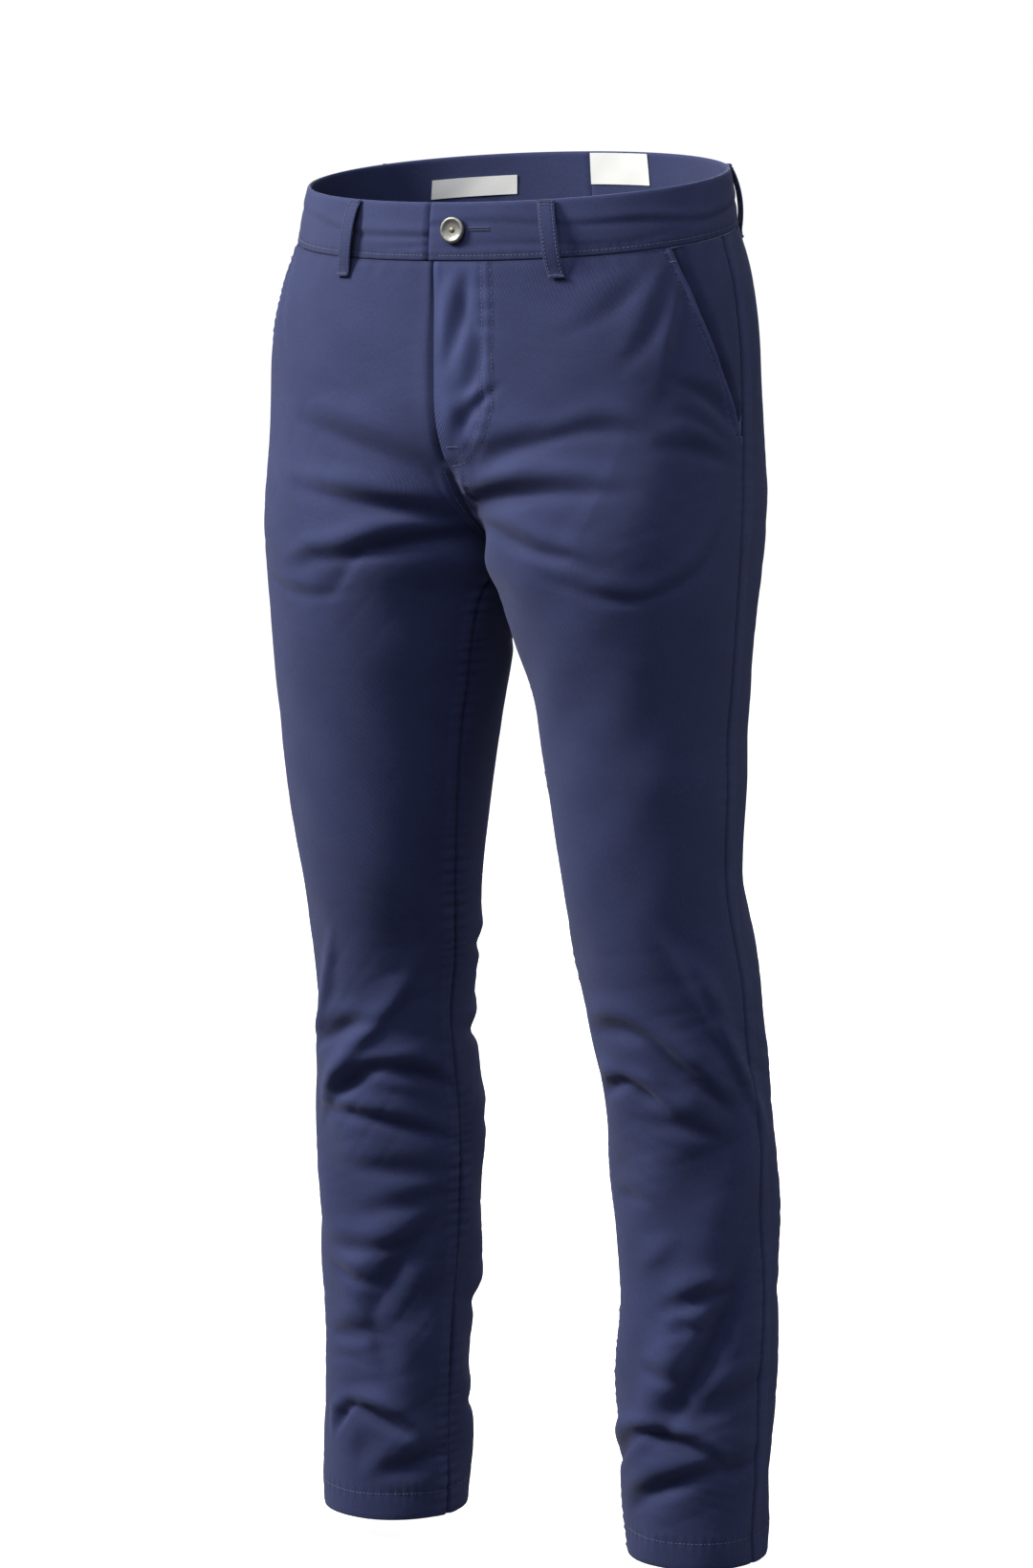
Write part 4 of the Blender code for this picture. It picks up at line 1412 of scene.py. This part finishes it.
@dataclass
class Waistband:
    """One half of the waistband; the left end laps over the right one's tongue."""

    side: Side
    stations: int = 230
    fold: float = 0.55 * MM

    def lap(self, tailor: Tailor) -> tuple[Array, Array]:
        """Return t and the step down of each station along the band.

        Args:
            tailor: The form and the finishes.

        Returns:
            The places round the side and how far each lies below the band's face.
        """
        half = float(tailor.form.girth(self.side, Half.FRONT, np.array(-BAND_DEPTH / 2)))
        end = 1 - SEAM / 2 / half
        if self.side is Side.LEFT:
            t = np.linspace(-1 - FLY_LAP / half, end, self.stations)
            return t, np.zeros_like(t)
        step = 2 * MM / half
        last = -1 + (FLY_LAP + 2.2 * MM) / half
        t = np.linspace(-1 - UNDERLAP / half, end, self.stations)
        return t, (BAND_WALL + 2.6 * SEAM) * smooth((last - t) / step)

    def wrinkles(self, t: Array, level: Array, half: float) -> Array:
        """Return the band's soft lengthwise wrinkles and the pull beside its seam.

        Args:
            t: Places round the side.
            level: Heights at the side seam.
            half: Length of cloth from the side to the centre.

        Returns:
            The push, in metres.
        """
        x = t * half / MM
        depth = -level / MM
        lean = 1.5 if self.side is Side.LEFT else -1.0
        middle = 20 + 5.0 * np.sin(x / 61 + lean) + 1.2 * np.sin(x / 17 + 2 * lean)
        strength = 0.70 + 0.30 * np.sin(x / 43 + 1 + lean)
        crease = -0.62 * MM * strength * bump(depth - middle, 2.3)
        crease = crease + 0.34 * MM * strength * bump(depth - middle + 5, 4)
        second = 31 + 2.5 * np.sin(x / 23 + 4 * lean)
        crease = crease - 0.40 * MM * (0.5 + 0.5 * np.sin(x / 41 - lean)) * bump(depth - second, 2.6)
        pull = 0.16 * MM * np.sin(math.tau * x / 8.5 + 2 * np.sin(x / 17)) * bump(depth - 37, 4.5)
        soft = 0.30 * MM * np.sin(x / 19 + 3 * lean) * np.sin(depth / 14 + x / 53)
        return 2.0 * crease + pull + soft

    def build(self, tailor: Tailor) -> bpy.types.Object:
        """Model the band as a folded strip with a rounded top edge.

        Args:
            tailor: The form and the finishes.

        Returns:
            The half band.
        """
        form = tailor.form
        half = float(form.girth(self.side, Half.FRONT, np.array(-BAND_DEPTH / 2)))
        t, sink = self.lap(tailor)
        ring = strip_section(BAND_DEPTH, BAND_WALL, 24)
        level = -BAND_DEPTH / 2 + ring[:, 0]
        level = np.broadcast_to(level[None, :], (len(t), len(ring)))
        place = np.broadcast_to(t[:, None], level.shape)
        depth = ring[None, :, 1] - BAND_WALL
        outer = np.clip(ring[None, :, 1] / BAND_WALL, 0, 1)
        crown = self.fold * (1 - (ring[None, :, 0] / (BAND_DEPTH / 2)) ** 4)
        push = BAND_PROUD - self.fold + depth + outer * (crown + self.wrinkles(place, level, half))
        push = push - outer * 0.6 * MM * bump(-level - BAND_STITCH, 1.1 * MM) - sink[:, None]
        ends = np.minimum(np.abs(place - t[0]), np.abs(place - t[-1])) * half
        squeeze = smooth(ends / (1.4 * MM))
        push = push - (outer - 0.5) * BAND_WALL * 0.6 * (1 - squeeze)
        base, away = form.past_centre(self.side, level, place)
        places = base + away * push[..., None]
        looks = away * (2 * outer - 1)[..., None]
        looks = looks + np.array([0, 0, 1.0]) * (ring[None, :, 0] / (BAND_DEPTH / 2))[..., None] ** 9
        uv = np.stack([np.cumsum(np.full(level.shape, half * (t[1] - t[0])), axis=0), level + depth], axis=-1)
        name = f"waistband_{self.side.word}"
        # Painted light on the band: paler on wrinkle ridges and a painted highlight along the top fold; painted
        # shade in wrinkle troughs, the stitch groove and along the lower seam.
        groove = 0.40 * bump(-level - BAND_STITCH, 1.1 * MM)
        rubbed = outer * (0.16 * self.wrinkles(place, level, half) / MM - groove)
        rubbed = rubbed + 0.22 * bump(level, 2.2 * MM) - 0.35 * bump(-level - BAND_DEPTH, 1.4 * MM)
        piece = lay_band(name, places, uv, looks, tailor.cloth, rubbed)
        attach(piece, BODY)
        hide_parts(name)
        f"front_{self.side.word}"
        return piece


class LoopPlace(Enum):
    """Where each belt loop is sewn, by its plan angle in degrees from the front."""

    FRONT_LEFT = 40.0
    FRONT_RIGHT = -36.0
    SIDE_LEFT = 112.0
    SIDE_RIGHT = -112.0
    BACK = 180.0


@dataclass
class BeltLoop:
    """A belt loop: a folded strip, stitched at both edges and barred at its ends."""

    place: LoopPlace
    width: float = 12 * MM
    wall: float = 1.8 * MM
    top: float = -0.5 * MM
    foot: float = -53 * MM
    gap: float = 4.5 * MM
    row: float = 1.9 * MM

    def spot(self, form: Form) -> tuple[Side, float]:
        """Return the side and t at the loop's plan angle.

        Args:
            form: The bare form of the trousers.

        Returns:
            The wearer's side and the place round it.
        """
        side = Side.LEFT if self.place.value >= 0 else Side.RIGHT
        t = np.linspace(-1, 1, 2001)
        points = form.bare(side, np.full_like(t, -BAND_DEPTH / 2), t)
        angle = np.arctan2(np.abs(points[:, 0]), -points[:, 1])
        return side, float(np.interp(math.radians(abs(self.place.value)), angle, t))

    def build(self, tailor: Tailor) -> tuple[bpy.types.Object, list[StitchRow]]:
        """Model the loop and return it with the stitches on it.

        Args:
            tailor: The form and the finishes.

        Returns:
            The loop, and its rows of stitches.
        """
        form = tailor.form
        side, t = self.spot(form)
        middle = form.bare(side, np.array(-BAND_DEPTH / 2), np.array(t))
        normal = form.outward(side, np.array(-BAND_DEPTH / 2), np.array(t)) * np.array([1, 1, 0])
        normal = normal / np.linalg.norm(normal)
        beside = np.cross([0, 0, 1.0], normal)
        rest = BAND_PROUD + 2 * SEAM
        level = np.linspace(self.top, self.foot, 56)
        share = np.clip((self.top - 1.5 * MM - level) / (self.top - self.foot - 7.5 * MM), 0, 1)
        out = rest + self.gap * np.sin(math.pi * share) ** 0.75
        for _ in range(4):
            out = np.convolve(np.pad(out, 1, "edge"), [0.25, 0.5, 0.25], "valid")
        wobble = 0.35 * MM * np.sin(level / (9 * MM) + 2 * t)
        ring = strip_section(self.width, self.wall, 10)
        x, y = ring[:, 0], ring[:, 1]
        base = form.bare(side, level, np.full_like(level, t))
        curve = 0.5 * x**2 / max(float(np.hypot(middle[0], middle[1])), 0.1)
        hollow = 0.30 * MM * bump(np.abs(x) - self.width / 2 + self.row, 0.8 * MM) * (y > self.wall / 2)
        tack = smooth((5 * MM - np.minimum(self.top - level, level - self.foot)) / (1.5 * MM))
        pressed = 0.35 * MM * tack[:, None] * (y > self.wall / 2)[None, :]
        height = (y - curve - hollow)[None, :] + out[:, None] - pressed
        places = (
            base[:, None]
            + beside * (x[None, :] + wobble[:, None])[..., None]
            + normal * height[..., None]
        )
        looks = np.broadcast_to(
            (normal * (2 * y / self.wall - 1)[:, None] + beside * (x / (self.width / 2))[:, None] ** 9)[None],
            places.shape,
        )
        uv = np.stack(np.broadcast_arrays((x + y)[None, :], level[:, None]), axis=-1)
        name = f"belt_loop_{self.place.name.lower()}"
        # Painted light on the loop: paler folded edges, partly rubbed wear and partly painted highlight, and painted
        # shade in the stitch hollows.
        edge = smooth((np.abs(x) - self.width / 2 + 1.2 * MM) / (0.8 * MM))
        rubbed = np.broadcast_to((0.35 * edge - 0.4 * hollow / (0.3 * MM))[None, :], level.shape + x.shape)
        piece = lay_band(name, places, uv, looks, tailor.cloth, rubbed)
        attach(piece, BODY)
        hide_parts(name)
        f"waistband_{side.word}"
        rows = []
        for line in (-1, 1):
            shift = line * (self.width / 2 - self.row)
            edge = base + beside * (shift + wobble)[:, None] + normal * (out + self.wall - 0.25 * MM)[:, None]
            rows.append(StitchRow(edge, np.broadcast_to(normal, edge.shape), 2.6 * MM))
        for row in (1, 3, 53, 54):
            bar = base[row] + beside * np.linspace(-0.42, 0.42, 12)[:, None] * self.width
            bar = bar + normal * (out[row] + self.wall - 0.2 * MM)
            rows.append(StitchRow(bar, np.broadcast_to(normal, bar.shape), 1.0 * MM, 0.95, 0.30 * MM))
        return piece, rows


@dataclass
class HemTurning:
    """The turned-up hem, a ring just inside the leg's lower edge."""

    side: Side

    def build(self, tailor: Tailor) -> bpy.types.Object:
        """Model the ring on the panels' own face, one wall in.

        Args:
            tailor: The form and the finishes.

        Returns:
            The turned hem.
        """
        t = np.concatenate([np.linspace(-1, 0, 84)[:-1], np.linspace(0, 1, 84)])[None, :]
        level = (HEM + SEAM + (HEM_TURNING - SEAM) * np.linspace(1, 0, 12))[:, None]
        level, t = np.broadcast_arrays(level, t)
        form = tailor.form
        push = form.creases(self.side, level, t) - CLOTH - 1.3 * MM
        away = form.outward(self.side, level, t)
        places = form.bare(self.side, level, t) + away * push[..., None]
        places[:, -1] = places[:, 0]
        uv = tailor.cloth_uv(self.side, level, t)
        name = f"hem_{self.side.word}"
        piece = lay_cloth(name, places, uv, away, CLOTH, tailor.cloth, tailor.inside, closed=True)
        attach(piece, BODY)
        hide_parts(name)
        legs = [f"front_{self.side.word}", f"back_{self.side.word}"]
        return piece


@dataclass
class Label:
    """A bare woven label sewn inside the waistband."""

    name: str
    side: Side
    angle: float
    width: float
    top: float
    foot: float

    def build(self, tailor: Tailor) -> bpy.types.Object:
        """Model the label, a little wavy, on the band's inner face.

        Args:
            tailor: The form and the finishes.

        Returns:
            The label.
        """
        form = tailor.form
        half = float(form.girth(self.side, Half.BACK, np.array(-BAND_DEPTH / 2)))
        t = np.linspace(-1, 1, 2001)
        points = form.bare(self.side, np.full_like(t, -BAND_DEPTH / 2), t)
        turn = np.arctan2(np.abs(points[:, 0]), -points[:, 1])
        centre = float(np.interp(math.radians(self.angle), turn, t))
        place = (centre + np.linspace(-0.5, 0.5, 40) * self.width / half)[None, :]
        level = np.linspace(self.top, self.foot, 26)[:, None]
        level, place = np.broadcast_arrays(level, place)
        base, away = form.past_centre(self.side, level, place)
        across = (place - centre) * half
        wave = 0.18 * MM * np.sin(across / (6 * MM)) * np.sin(level / (5 * MM) + 1)
        places = base - away * (BAND_WALL - BAND_PROUD + 1.4 * MM + wave)[..., None]
        uv = np.stack([across + 0.1, level + 0.1], axis=-1)
        piece = lay_cloth(self.name, places, uv, -away, 0.6 * MM, tailor.satin, tailor.satin)
        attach(piece, BODY)
        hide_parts(self.name)
        band = f"waistband_{self.side.word}"
        return piece


@dataclass
class WaistButton:
    """The metal shank button on the left end of the waistband."""

    level: float = BUTTON_LEVEL
    from_centre: float = 12 * MM
    rim: float = 9.4 * MM

    def seat(self, tailor: Tailor) -> tuple[Array, Array]:
        """Return the button's place on the band and the way it looks.

        Args:
            tailor: The form and the finishes.

        Returns:
            A point on the bare form and its outward normal.
        """
        form = tailor.form
        half = float(form.girth(Side.LEFT, Half.FRONT, np.array(self.level)))
        t = np.array(-1 + self.from_centre / half)
        level = np.array(self.level)
        return form.bare(Side.LEFT, level, t), form.outward(Side.LEFT, level, t)

    def turned(self, name: str, profile: Sequence[tuple[float, float]], tailor: Tailor,
               material: bpy.types.Material) -> bpy.types.Object:
        """Turn a profile of radius and height in millimetres and set it on the band.

        Args:
            name: The piece's name.
            profile: Points from the centre of its top to the centre of its foot.
            tailor: The form and the finishes.
            material: The piece's metal.

        Returns:
            The new object, at the origin.
        """
        seat, normal = self.seat(tailor)
        deselect_all()
        bpy.ops.mesh.primitive_circle_add(vertices=len(profile), radius=1 * MM)
        piece = bpy.context.active_object
        piece.name = name
        piece.data.name = name
        with editing(piece):
            bpy.ops.mesh.delete(type="VERT")
        mesh = piece.data
        mesh.vertices.add(len(profile))
        for vertex, (radius, height) in zip(mesh.vertices, profile):
            vertex.co = (radius * MM, 0, height * MM)
        mesh.edges.add(len(profile) - 1)
        for k, edge in enumerate(mesh.edges):
            edge.vertices = (k, k + 1)
        mesh.update()
        with editing(piece):
            bpy.ops.mesh.spin(steps=48, angle=math.tau, center=(0, 0, 0), axis=(0, 0, 1))
            bpy.ops.mesh.select_all(action="SELECT")
            bpy.ops.mesh.remove_doubles(threshold=0.000005)
            bpy.ops.mesh.normals_make_consistent(inside=False)
        soften = piece.modifiers.new("Soften", "SUBSURF")
        soften.levels = 1
        soften.render_levels = 1
        bpy.ops.object.modifier_apply(modifier=soften.name)
        turn = Vector(normal).to_track_quat("Z", "Y").to_matrix().to_4x4()
        mesh = piece.data
        mesh.transform(turn)
        mesh.transform(Matrix.Translation(Vector(seat)))
        mesh.materials.append(material)
        bpy.ops.object.shade_smooth()
        return piece

    def build(self, tailor: Tailor) -> list[bpy.types.Object]:
        """Model the rim and dished cap, and the small brassy eye at its centre.

        Args:
            tailor: The form and the finishes.

        Returns:
            The cap, the eye and the shank.
        """
        rim = self.rim / MM
        cap = self.turned(
            "button_cap",
            ((0, 2.9), (1.2, 2.9), (2.2, 2.92), (3.2, 2.98), (4.0, 3.05), (4.8, 3.15), (5.6, 3.3), (6.3, 3.6),
             (7.1, 3.95), (7.9, 4.05), (8.7, 3.75), (rim, 3.0), (rim, 2.4), (8.7, 1.7), (4.0, 1.4), (0, 1.4)),
            tailor, tailor.metal,
        )
        eye = self.turned(
            "button_eye",
            ((0, 3.75), (0.9, 3.7), (1.7, 3.45), (2.1, 3.1), (2.1, 2.7), (0, 2.7)),
            tailor, tailor.brass,
        )
        shank = self.turned(
            "button_shank",
            ((0, 1.6), (2.6, 1.6), (2.6, 0.2), (3.4, 0.1), (3.4, -0.1), (0, -0.1)),
            tailor, tailor.metal,
        )
        for piece in (cap, eye, shank):
            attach(piece, BODY)
        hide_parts("button")
        return [cap, eye, shank]


@dataclass
class Stitching:
    """Every visible row of stitches on the body and the waistband."""

    lift: float = 0.10 * MM
    hole_ends: tuple[float, float] = (21 * MM, 35 * MM)
    hole_edges: tuple[float, float] = (-17.6 * MM, -19.2 * MM)

    def line(self, tailor: Tailor, side: Side, level: Array, t: Array, pitch: float = 3.0 * MM) -> StitchRow:
        """Return a row along a line of levels and t on the panels' face."""
        places, away = tailor.face(side, level, t, self.lift)
        return StitchRow(places, away, pitch)

    def along_end(self, tailor: Tailor, side: Side, half: Half, level: Array, inset: Array | float) -> StitchRow:
        """Return a row at a distance from the centre or inseam edge of a half.

        Args:
            tailor: The form and the finishes.
            side: The wearer's side.
            half: The half, front or back.
            level: Heights at the side seam.
            inset: Distances from the half's end.

        Returns:
            The row.
        """
        girth = tailor.form.girth(side, half, level)
        return self.line(tailor, side, level, half.value * (1 - inset / girth))

    def fly(self, tailor: Tailor) -> list[StitchRow]:
        """Return the two J rows of the fly and its bar tack.

        Args:
            tailor: The form and the finishes.

        Returns:
            The rows.
        """
        rows = []
        for inset in (0.0, FLY_ROWS):
            foot = FLY_FOOT + 0.6 * inset
            level = np.concatenate([np.linspace(BODY_TOP - 2 * MM, -0.150, 60), np.linspace(-0.150, foot, 40)[1:]])
            reach = np.maximum(fly_reach(level) - inset, 1.2 * MM)
            rows.append(self.along_end(tailor, Side.LEFT, Half.FRONT, level, reach))
        level = -0.186
        inset = np.linspace(1.5 * MM, 7 * MM, 10)
        girth = float(tailor.form.girth(Side.LEFT, Half.FRONT, np.array(level)))
        places, away = tailor.face(Side.LEFT, np.full(10, level), -1 + inset / girth, 0.1 * MM)
        rows.append(StitchRow(places, away, *TACK))
        return rows

    def pocket(self, tailor: Tailor, side: Side) -> list[StitchRow]:
        """Return the row along the pocket's edge and the bar tacks at its ends.

        Args:
            tailor: The form and the finishes.
            side: The wearer's side.

        Returns:
            The rows.
        """
        level = np.linspace(BODY_TOP - 2 * MM, POCKET_FOOT + 6 * MM, 90)
        girth = tailor.form.girth(side, Half.FRONT, level)
        rows = [self.line(tailor, side, level, pocket_edge(level) - POCKET_STITCH / girth)]
        for height in (-0.050, POCKET_FOOT + 4 * MM):
            girth = float(tailor.form.girth(side, Half.FRONT, np.array(height)))
            edge = float(pocket_edge(np.array(height)))
            t = np.linspace(edge - 7.5 * MM / girth, edge - 0.6 * MM / girth, 8)
            places, away = tailor.face(side, np.full(8, height), t, 0.1 * MM)
            rows.append(StitchRow(places, away, *TACK))
        return rows

    def band(self, tailor: Tailor, side: Side) -> StitchRow:
        """Return the row just above the waistband's lower seam.

        Args:
            tailor: The form and the finishes.
            side: The wearer's side.

        Returns:
            The row.
        """
        form = tailor.form
        band = Waistband(side)
        t, sink = band.lap(tailor)
        half = float(form.girth(side, Half.FRONT, np.array(-BAND_DEPTH / 2)))
        keep = (np.abs(t) <= 1) & (sink < 0.3 * MM)
        t = t[keep]
        level = np.full_like(t, -BAND_STITCH)
        bulge = band.fold * (1 - ((BAND_STITCH - BAND_DEPTH / 2) / (BAND_DEPTH / 2)) ** 4)
        push = BAND_PROUD - band.fold + bulge + band.wrinkles(t, level, half) - 0.4 * MM
        away = form.outward(side, level, t)
        return StitchRow(form.bare(side, level, t) + away * push[:, None], away)

    def buttonhole(self, tailor: Tailor) -> list[StitchRow]:
        """Return the two worked edges of the buttonhole beside the button.

        Args:
            tailor: The form and the finishes.

        Returns:
            The rows.
        """
        form = tailor.form
        half = float(form.girth(Side.LEFT, Half.FRONT, np.array(BUTTON_LEVEL)))
        rows = []
        inset = np.linspace(*self.hole_ends, 24)
        for height in self.hole_edges:
            t = -1 + inset / half
            level = np.full_like(t, height)
            away = form.outward(Side.LEFT, level, t)
            lift = BAND_PROUD + 0.25 * MM + Waistband(Side.LEFT).wrinkles(t, level, half)
            places = form.bare(Side.LEFT, level, t) + away * lift[:, None]
            rows.append(StitchRow(places, away, 0.9 * MM, 0.98, 0.42 * MM))
        return rows

    def build(self, tailor: Tailor, more: Sequence[StitchRow]) -> bpy.types.Object:
        """Sew every row as one piece of thread.

        Args:
            tailor: The form and the finishes.
            more: Rows that other pieces bring, such as the belt loops'.

        Returns:
            The joined thread.
        """
        rows = list(more) + self.fly(tailor) + self.buttonhole(tailor)
        seat = np.linspace(BODY_TOP - 2 * MM, CROTCH, 110)
        fork = np.linspace(FLY_FOOT - 4 * MM, CROTCH, 40)
        for side in Side:
            rows += self.pocket(tailor, side)
            rows.append(self.band(tailor, side))
            for half in Half:
                up = np.full(120, HEM + HEM_STITCH)
                t = half.value * np.linspace(0.005, 0.995, 120)
                rows.append(self.line(tailor, side, up, t))
            rows.append(self.along_end(tailor, side, Half.BACK, seat, SEAM_ROW))
            rows.append(self.along_end(tailor, side, Half.BACK, seat, SECOND_ROW))
            rows.append(self.along_end(tailor, side, Half.FRONT, fork, SEAM_ROW))
        rows.append(self.along_end(tailor, Side.LEFT, Half.FRONT, fork, SECOND_ROW))
        thread = sew("thread", rows, tailor.thread)
        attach(thread, BODY)
        return thread


@dataclass
class Studio:
    """The floor, the lights and the camera."""

    lens: float = 105.76
    place: tuple[float, float, float] = (1.65, -2.8579, 0.005)
    tilt: float = 90 - 7.61
    turn: float = 30.0
    floor: float = -1.02

    def area_light(self, name: str, place: tuple[float, float, float], size: float, power: float,
                   color: tuple[float, float, float] = (1, 1, 1)) -> None:
        """Add a square soft light that looks at the middle of the trousers.

        Args:
            name: The light's name.
            place: Where it hangs.
            size: The length of its sides.
            power: Its power, in watts.
            color: Its colour.
        """
        lamp = bpy.data.lights.new(name, "AREA")
        lamp.shape = "SQUARE"
        lamp.size = size
        lamp.energy = power
        lamp.color = color
        holder = bpy.data.objects.new(name, lamp)
        holder.location = place
        aim = Vector((0, 0, -0.5)) - Vector(place)
        holder.rotation_euler = aim.to_track_quat("-Z", "Y").to_euler()
        bpy.context.collection.objects.link(holder)

    def build(self) -> None:
        """Set the stage and make the camera the scene's own."""
        deselect_all()
        bpy.ops.mesh.primitive_plane_add(size=60, location=(0, 0, self.floor))
        ground = bpy.context.active_object
        ground.name = "floor"
        ground.data.materials.append(self.pale_floor())

        camera = bpy.data.cameras.new("camera")
        camera.lens = self.lens
        camera.sensor_width = 36
        holder = bpy.data.objects.new("camera", camera)
        holder.location = self.place
        holder.rotation_euler = (math.radians(self.tilt), 0, math.radians(self.turn))
        bpy.context.collection.objects.link(holder)
        bpy.context.scene.camera = holder

        self.area_light("key", (-2.34, -2.11, 1.96), 1.1, 268, (1.0, 0.98, 0.90))
        self.area_light("front_fill", (0.3, -2.0, 1.7), 1.6, 36)
        self.area_light("rim", (2.8, 1.3, 0.0), 1.4, 22)
        self.area_light("back", (-1.4, 2.8, 1.0), 2.0, 60)
        self.sky()
        view = bpy.context.scene.view_settings
        view.view_transform = "Standard"
        view.look = "None"

    def pale_floor(self) -> bpy.types.Material:
        """Return the floor's white, which throws less light back than it shows."""
        white = (0.82, 0.82, 0.83)
        pale, tree, seen = new_material("pale_floor", white, {
            "Base Color": (*white, 1),
            "Roughness": 0.95,
            "Emission Color": (1, 1, 1, 1),
            "Emission Strength": 0.94,
        })
        dull = add_node(tree, "BsdfDiffuse", {"Color": (0.12, 0.12, 0.13, 1)})
        self.seen_apart(tree, seen, dull, tree.nodes["Material Output"])
        return pale

    def sky(self) -> None:
        """Fill the studio with white as it is seen, and with a dim, cool light."""
        world = bpy.data.worlds.new("studio")
        bpy.context.scene.world = world
        world.use_nodes = True
        tree = world.node_tree
        seen = tree.nodes["Background"]
        seen.inputs["Color"].default_value = (1, 1, 1, 1)
        seen.inputs["Strength"].default_value = 1.0
        light = add_node(tree, "Background", {"Color": (0.78, 0.85, 1.0, 1), "Strength": 0.20})
        self.seen_apart(tree, seen, light, tree.nodes["World Output"])

    def seen_apart(self, tree: bpy.types.NodeTree, seen: bpy.types.Node, lit: bpy.types.Node,
                   result: bpy.types.Node) -> None:
        """Show one shader to the camera and another to every other ray.

        Args:
            tree: The tree that holds them.
            seen: The shader that the camera sees.
            lit: The shader that light meets.
            result: The tree's output node.
        """
        path = add_node(tree, "LightPath")
        mix = add_node(tree, "MixShader")
        wire(
            tree,
            (path.outputs["Is Camera Ray"], mix.inputs["Fac"]),
            (lit.outputs[0], mix.inputs[1]),
            (seen.outputs[0], mix.inputs[2]),
            (mix.outputs[0], result.inputs["Surface"]),
        )


def main() -> None:
    """Build the trousers, the thread and the stage."""
    logging.basicConfig(level=logging.INFO, format="%(name)s: %(message)s")
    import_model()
    tailor = Tailor(
        form=Form(),
        cloth=TwillFinish("navy_twill", (0.0108, 0.0158, 0.062), (0.035, 0.047, 0.142)).material(),
        inside=TwillFinish("navy_twill_inside", (0.010, 0.014, 0.050), (0.029, 0.039, 0.118)).material(),
        thread=ThreadFinish().material(),
        metal=MetalFinish("tumbled_steel", (0.215, 0.213, 0.21), 0.48).material(),
        brass=MetalFinish("aged_brass", (0.20, 0.17, 0.12), 0.45).material(),
        satin=LabelFinish().material(),
    )
    pieces = [LegPanel(side, half).build(tailor) for side in Side for half in Half]
    pieces += [PocketFacing(side).build(tailor) for side in Side]
    pieces += [Waistband(side).build(tailor) for side in Side]
    pieces += [HemTurning(side).build(tailor) for side in Side]
    rows: list[StitchRow] = []
    for place in LoopPlace:
        loop, stitches = BeltLoop(place).build(tailor)
        pieces.append(loop)
        rows += stitches
    pieces += WaistButton().build(tailor)
    pieces.append(Label("label_brand_blank", Side.RIGHT, 136, 60 * MM, -16 * MM, -30 * MM).build(tailor))
    pieces.append(Label("label_size_blank", Side.LEFT, 166, 45 * MM, -1 * MM, -24 * MM).build(tailor))
    pieces.append(Stitching().build(tailor, rows))
    for piece in pieces:
        LOG.info("%s: %d faces", piece.name, len(piece.data.polygons))
    Studio().build()


if __name__ == "__main__":
    main()
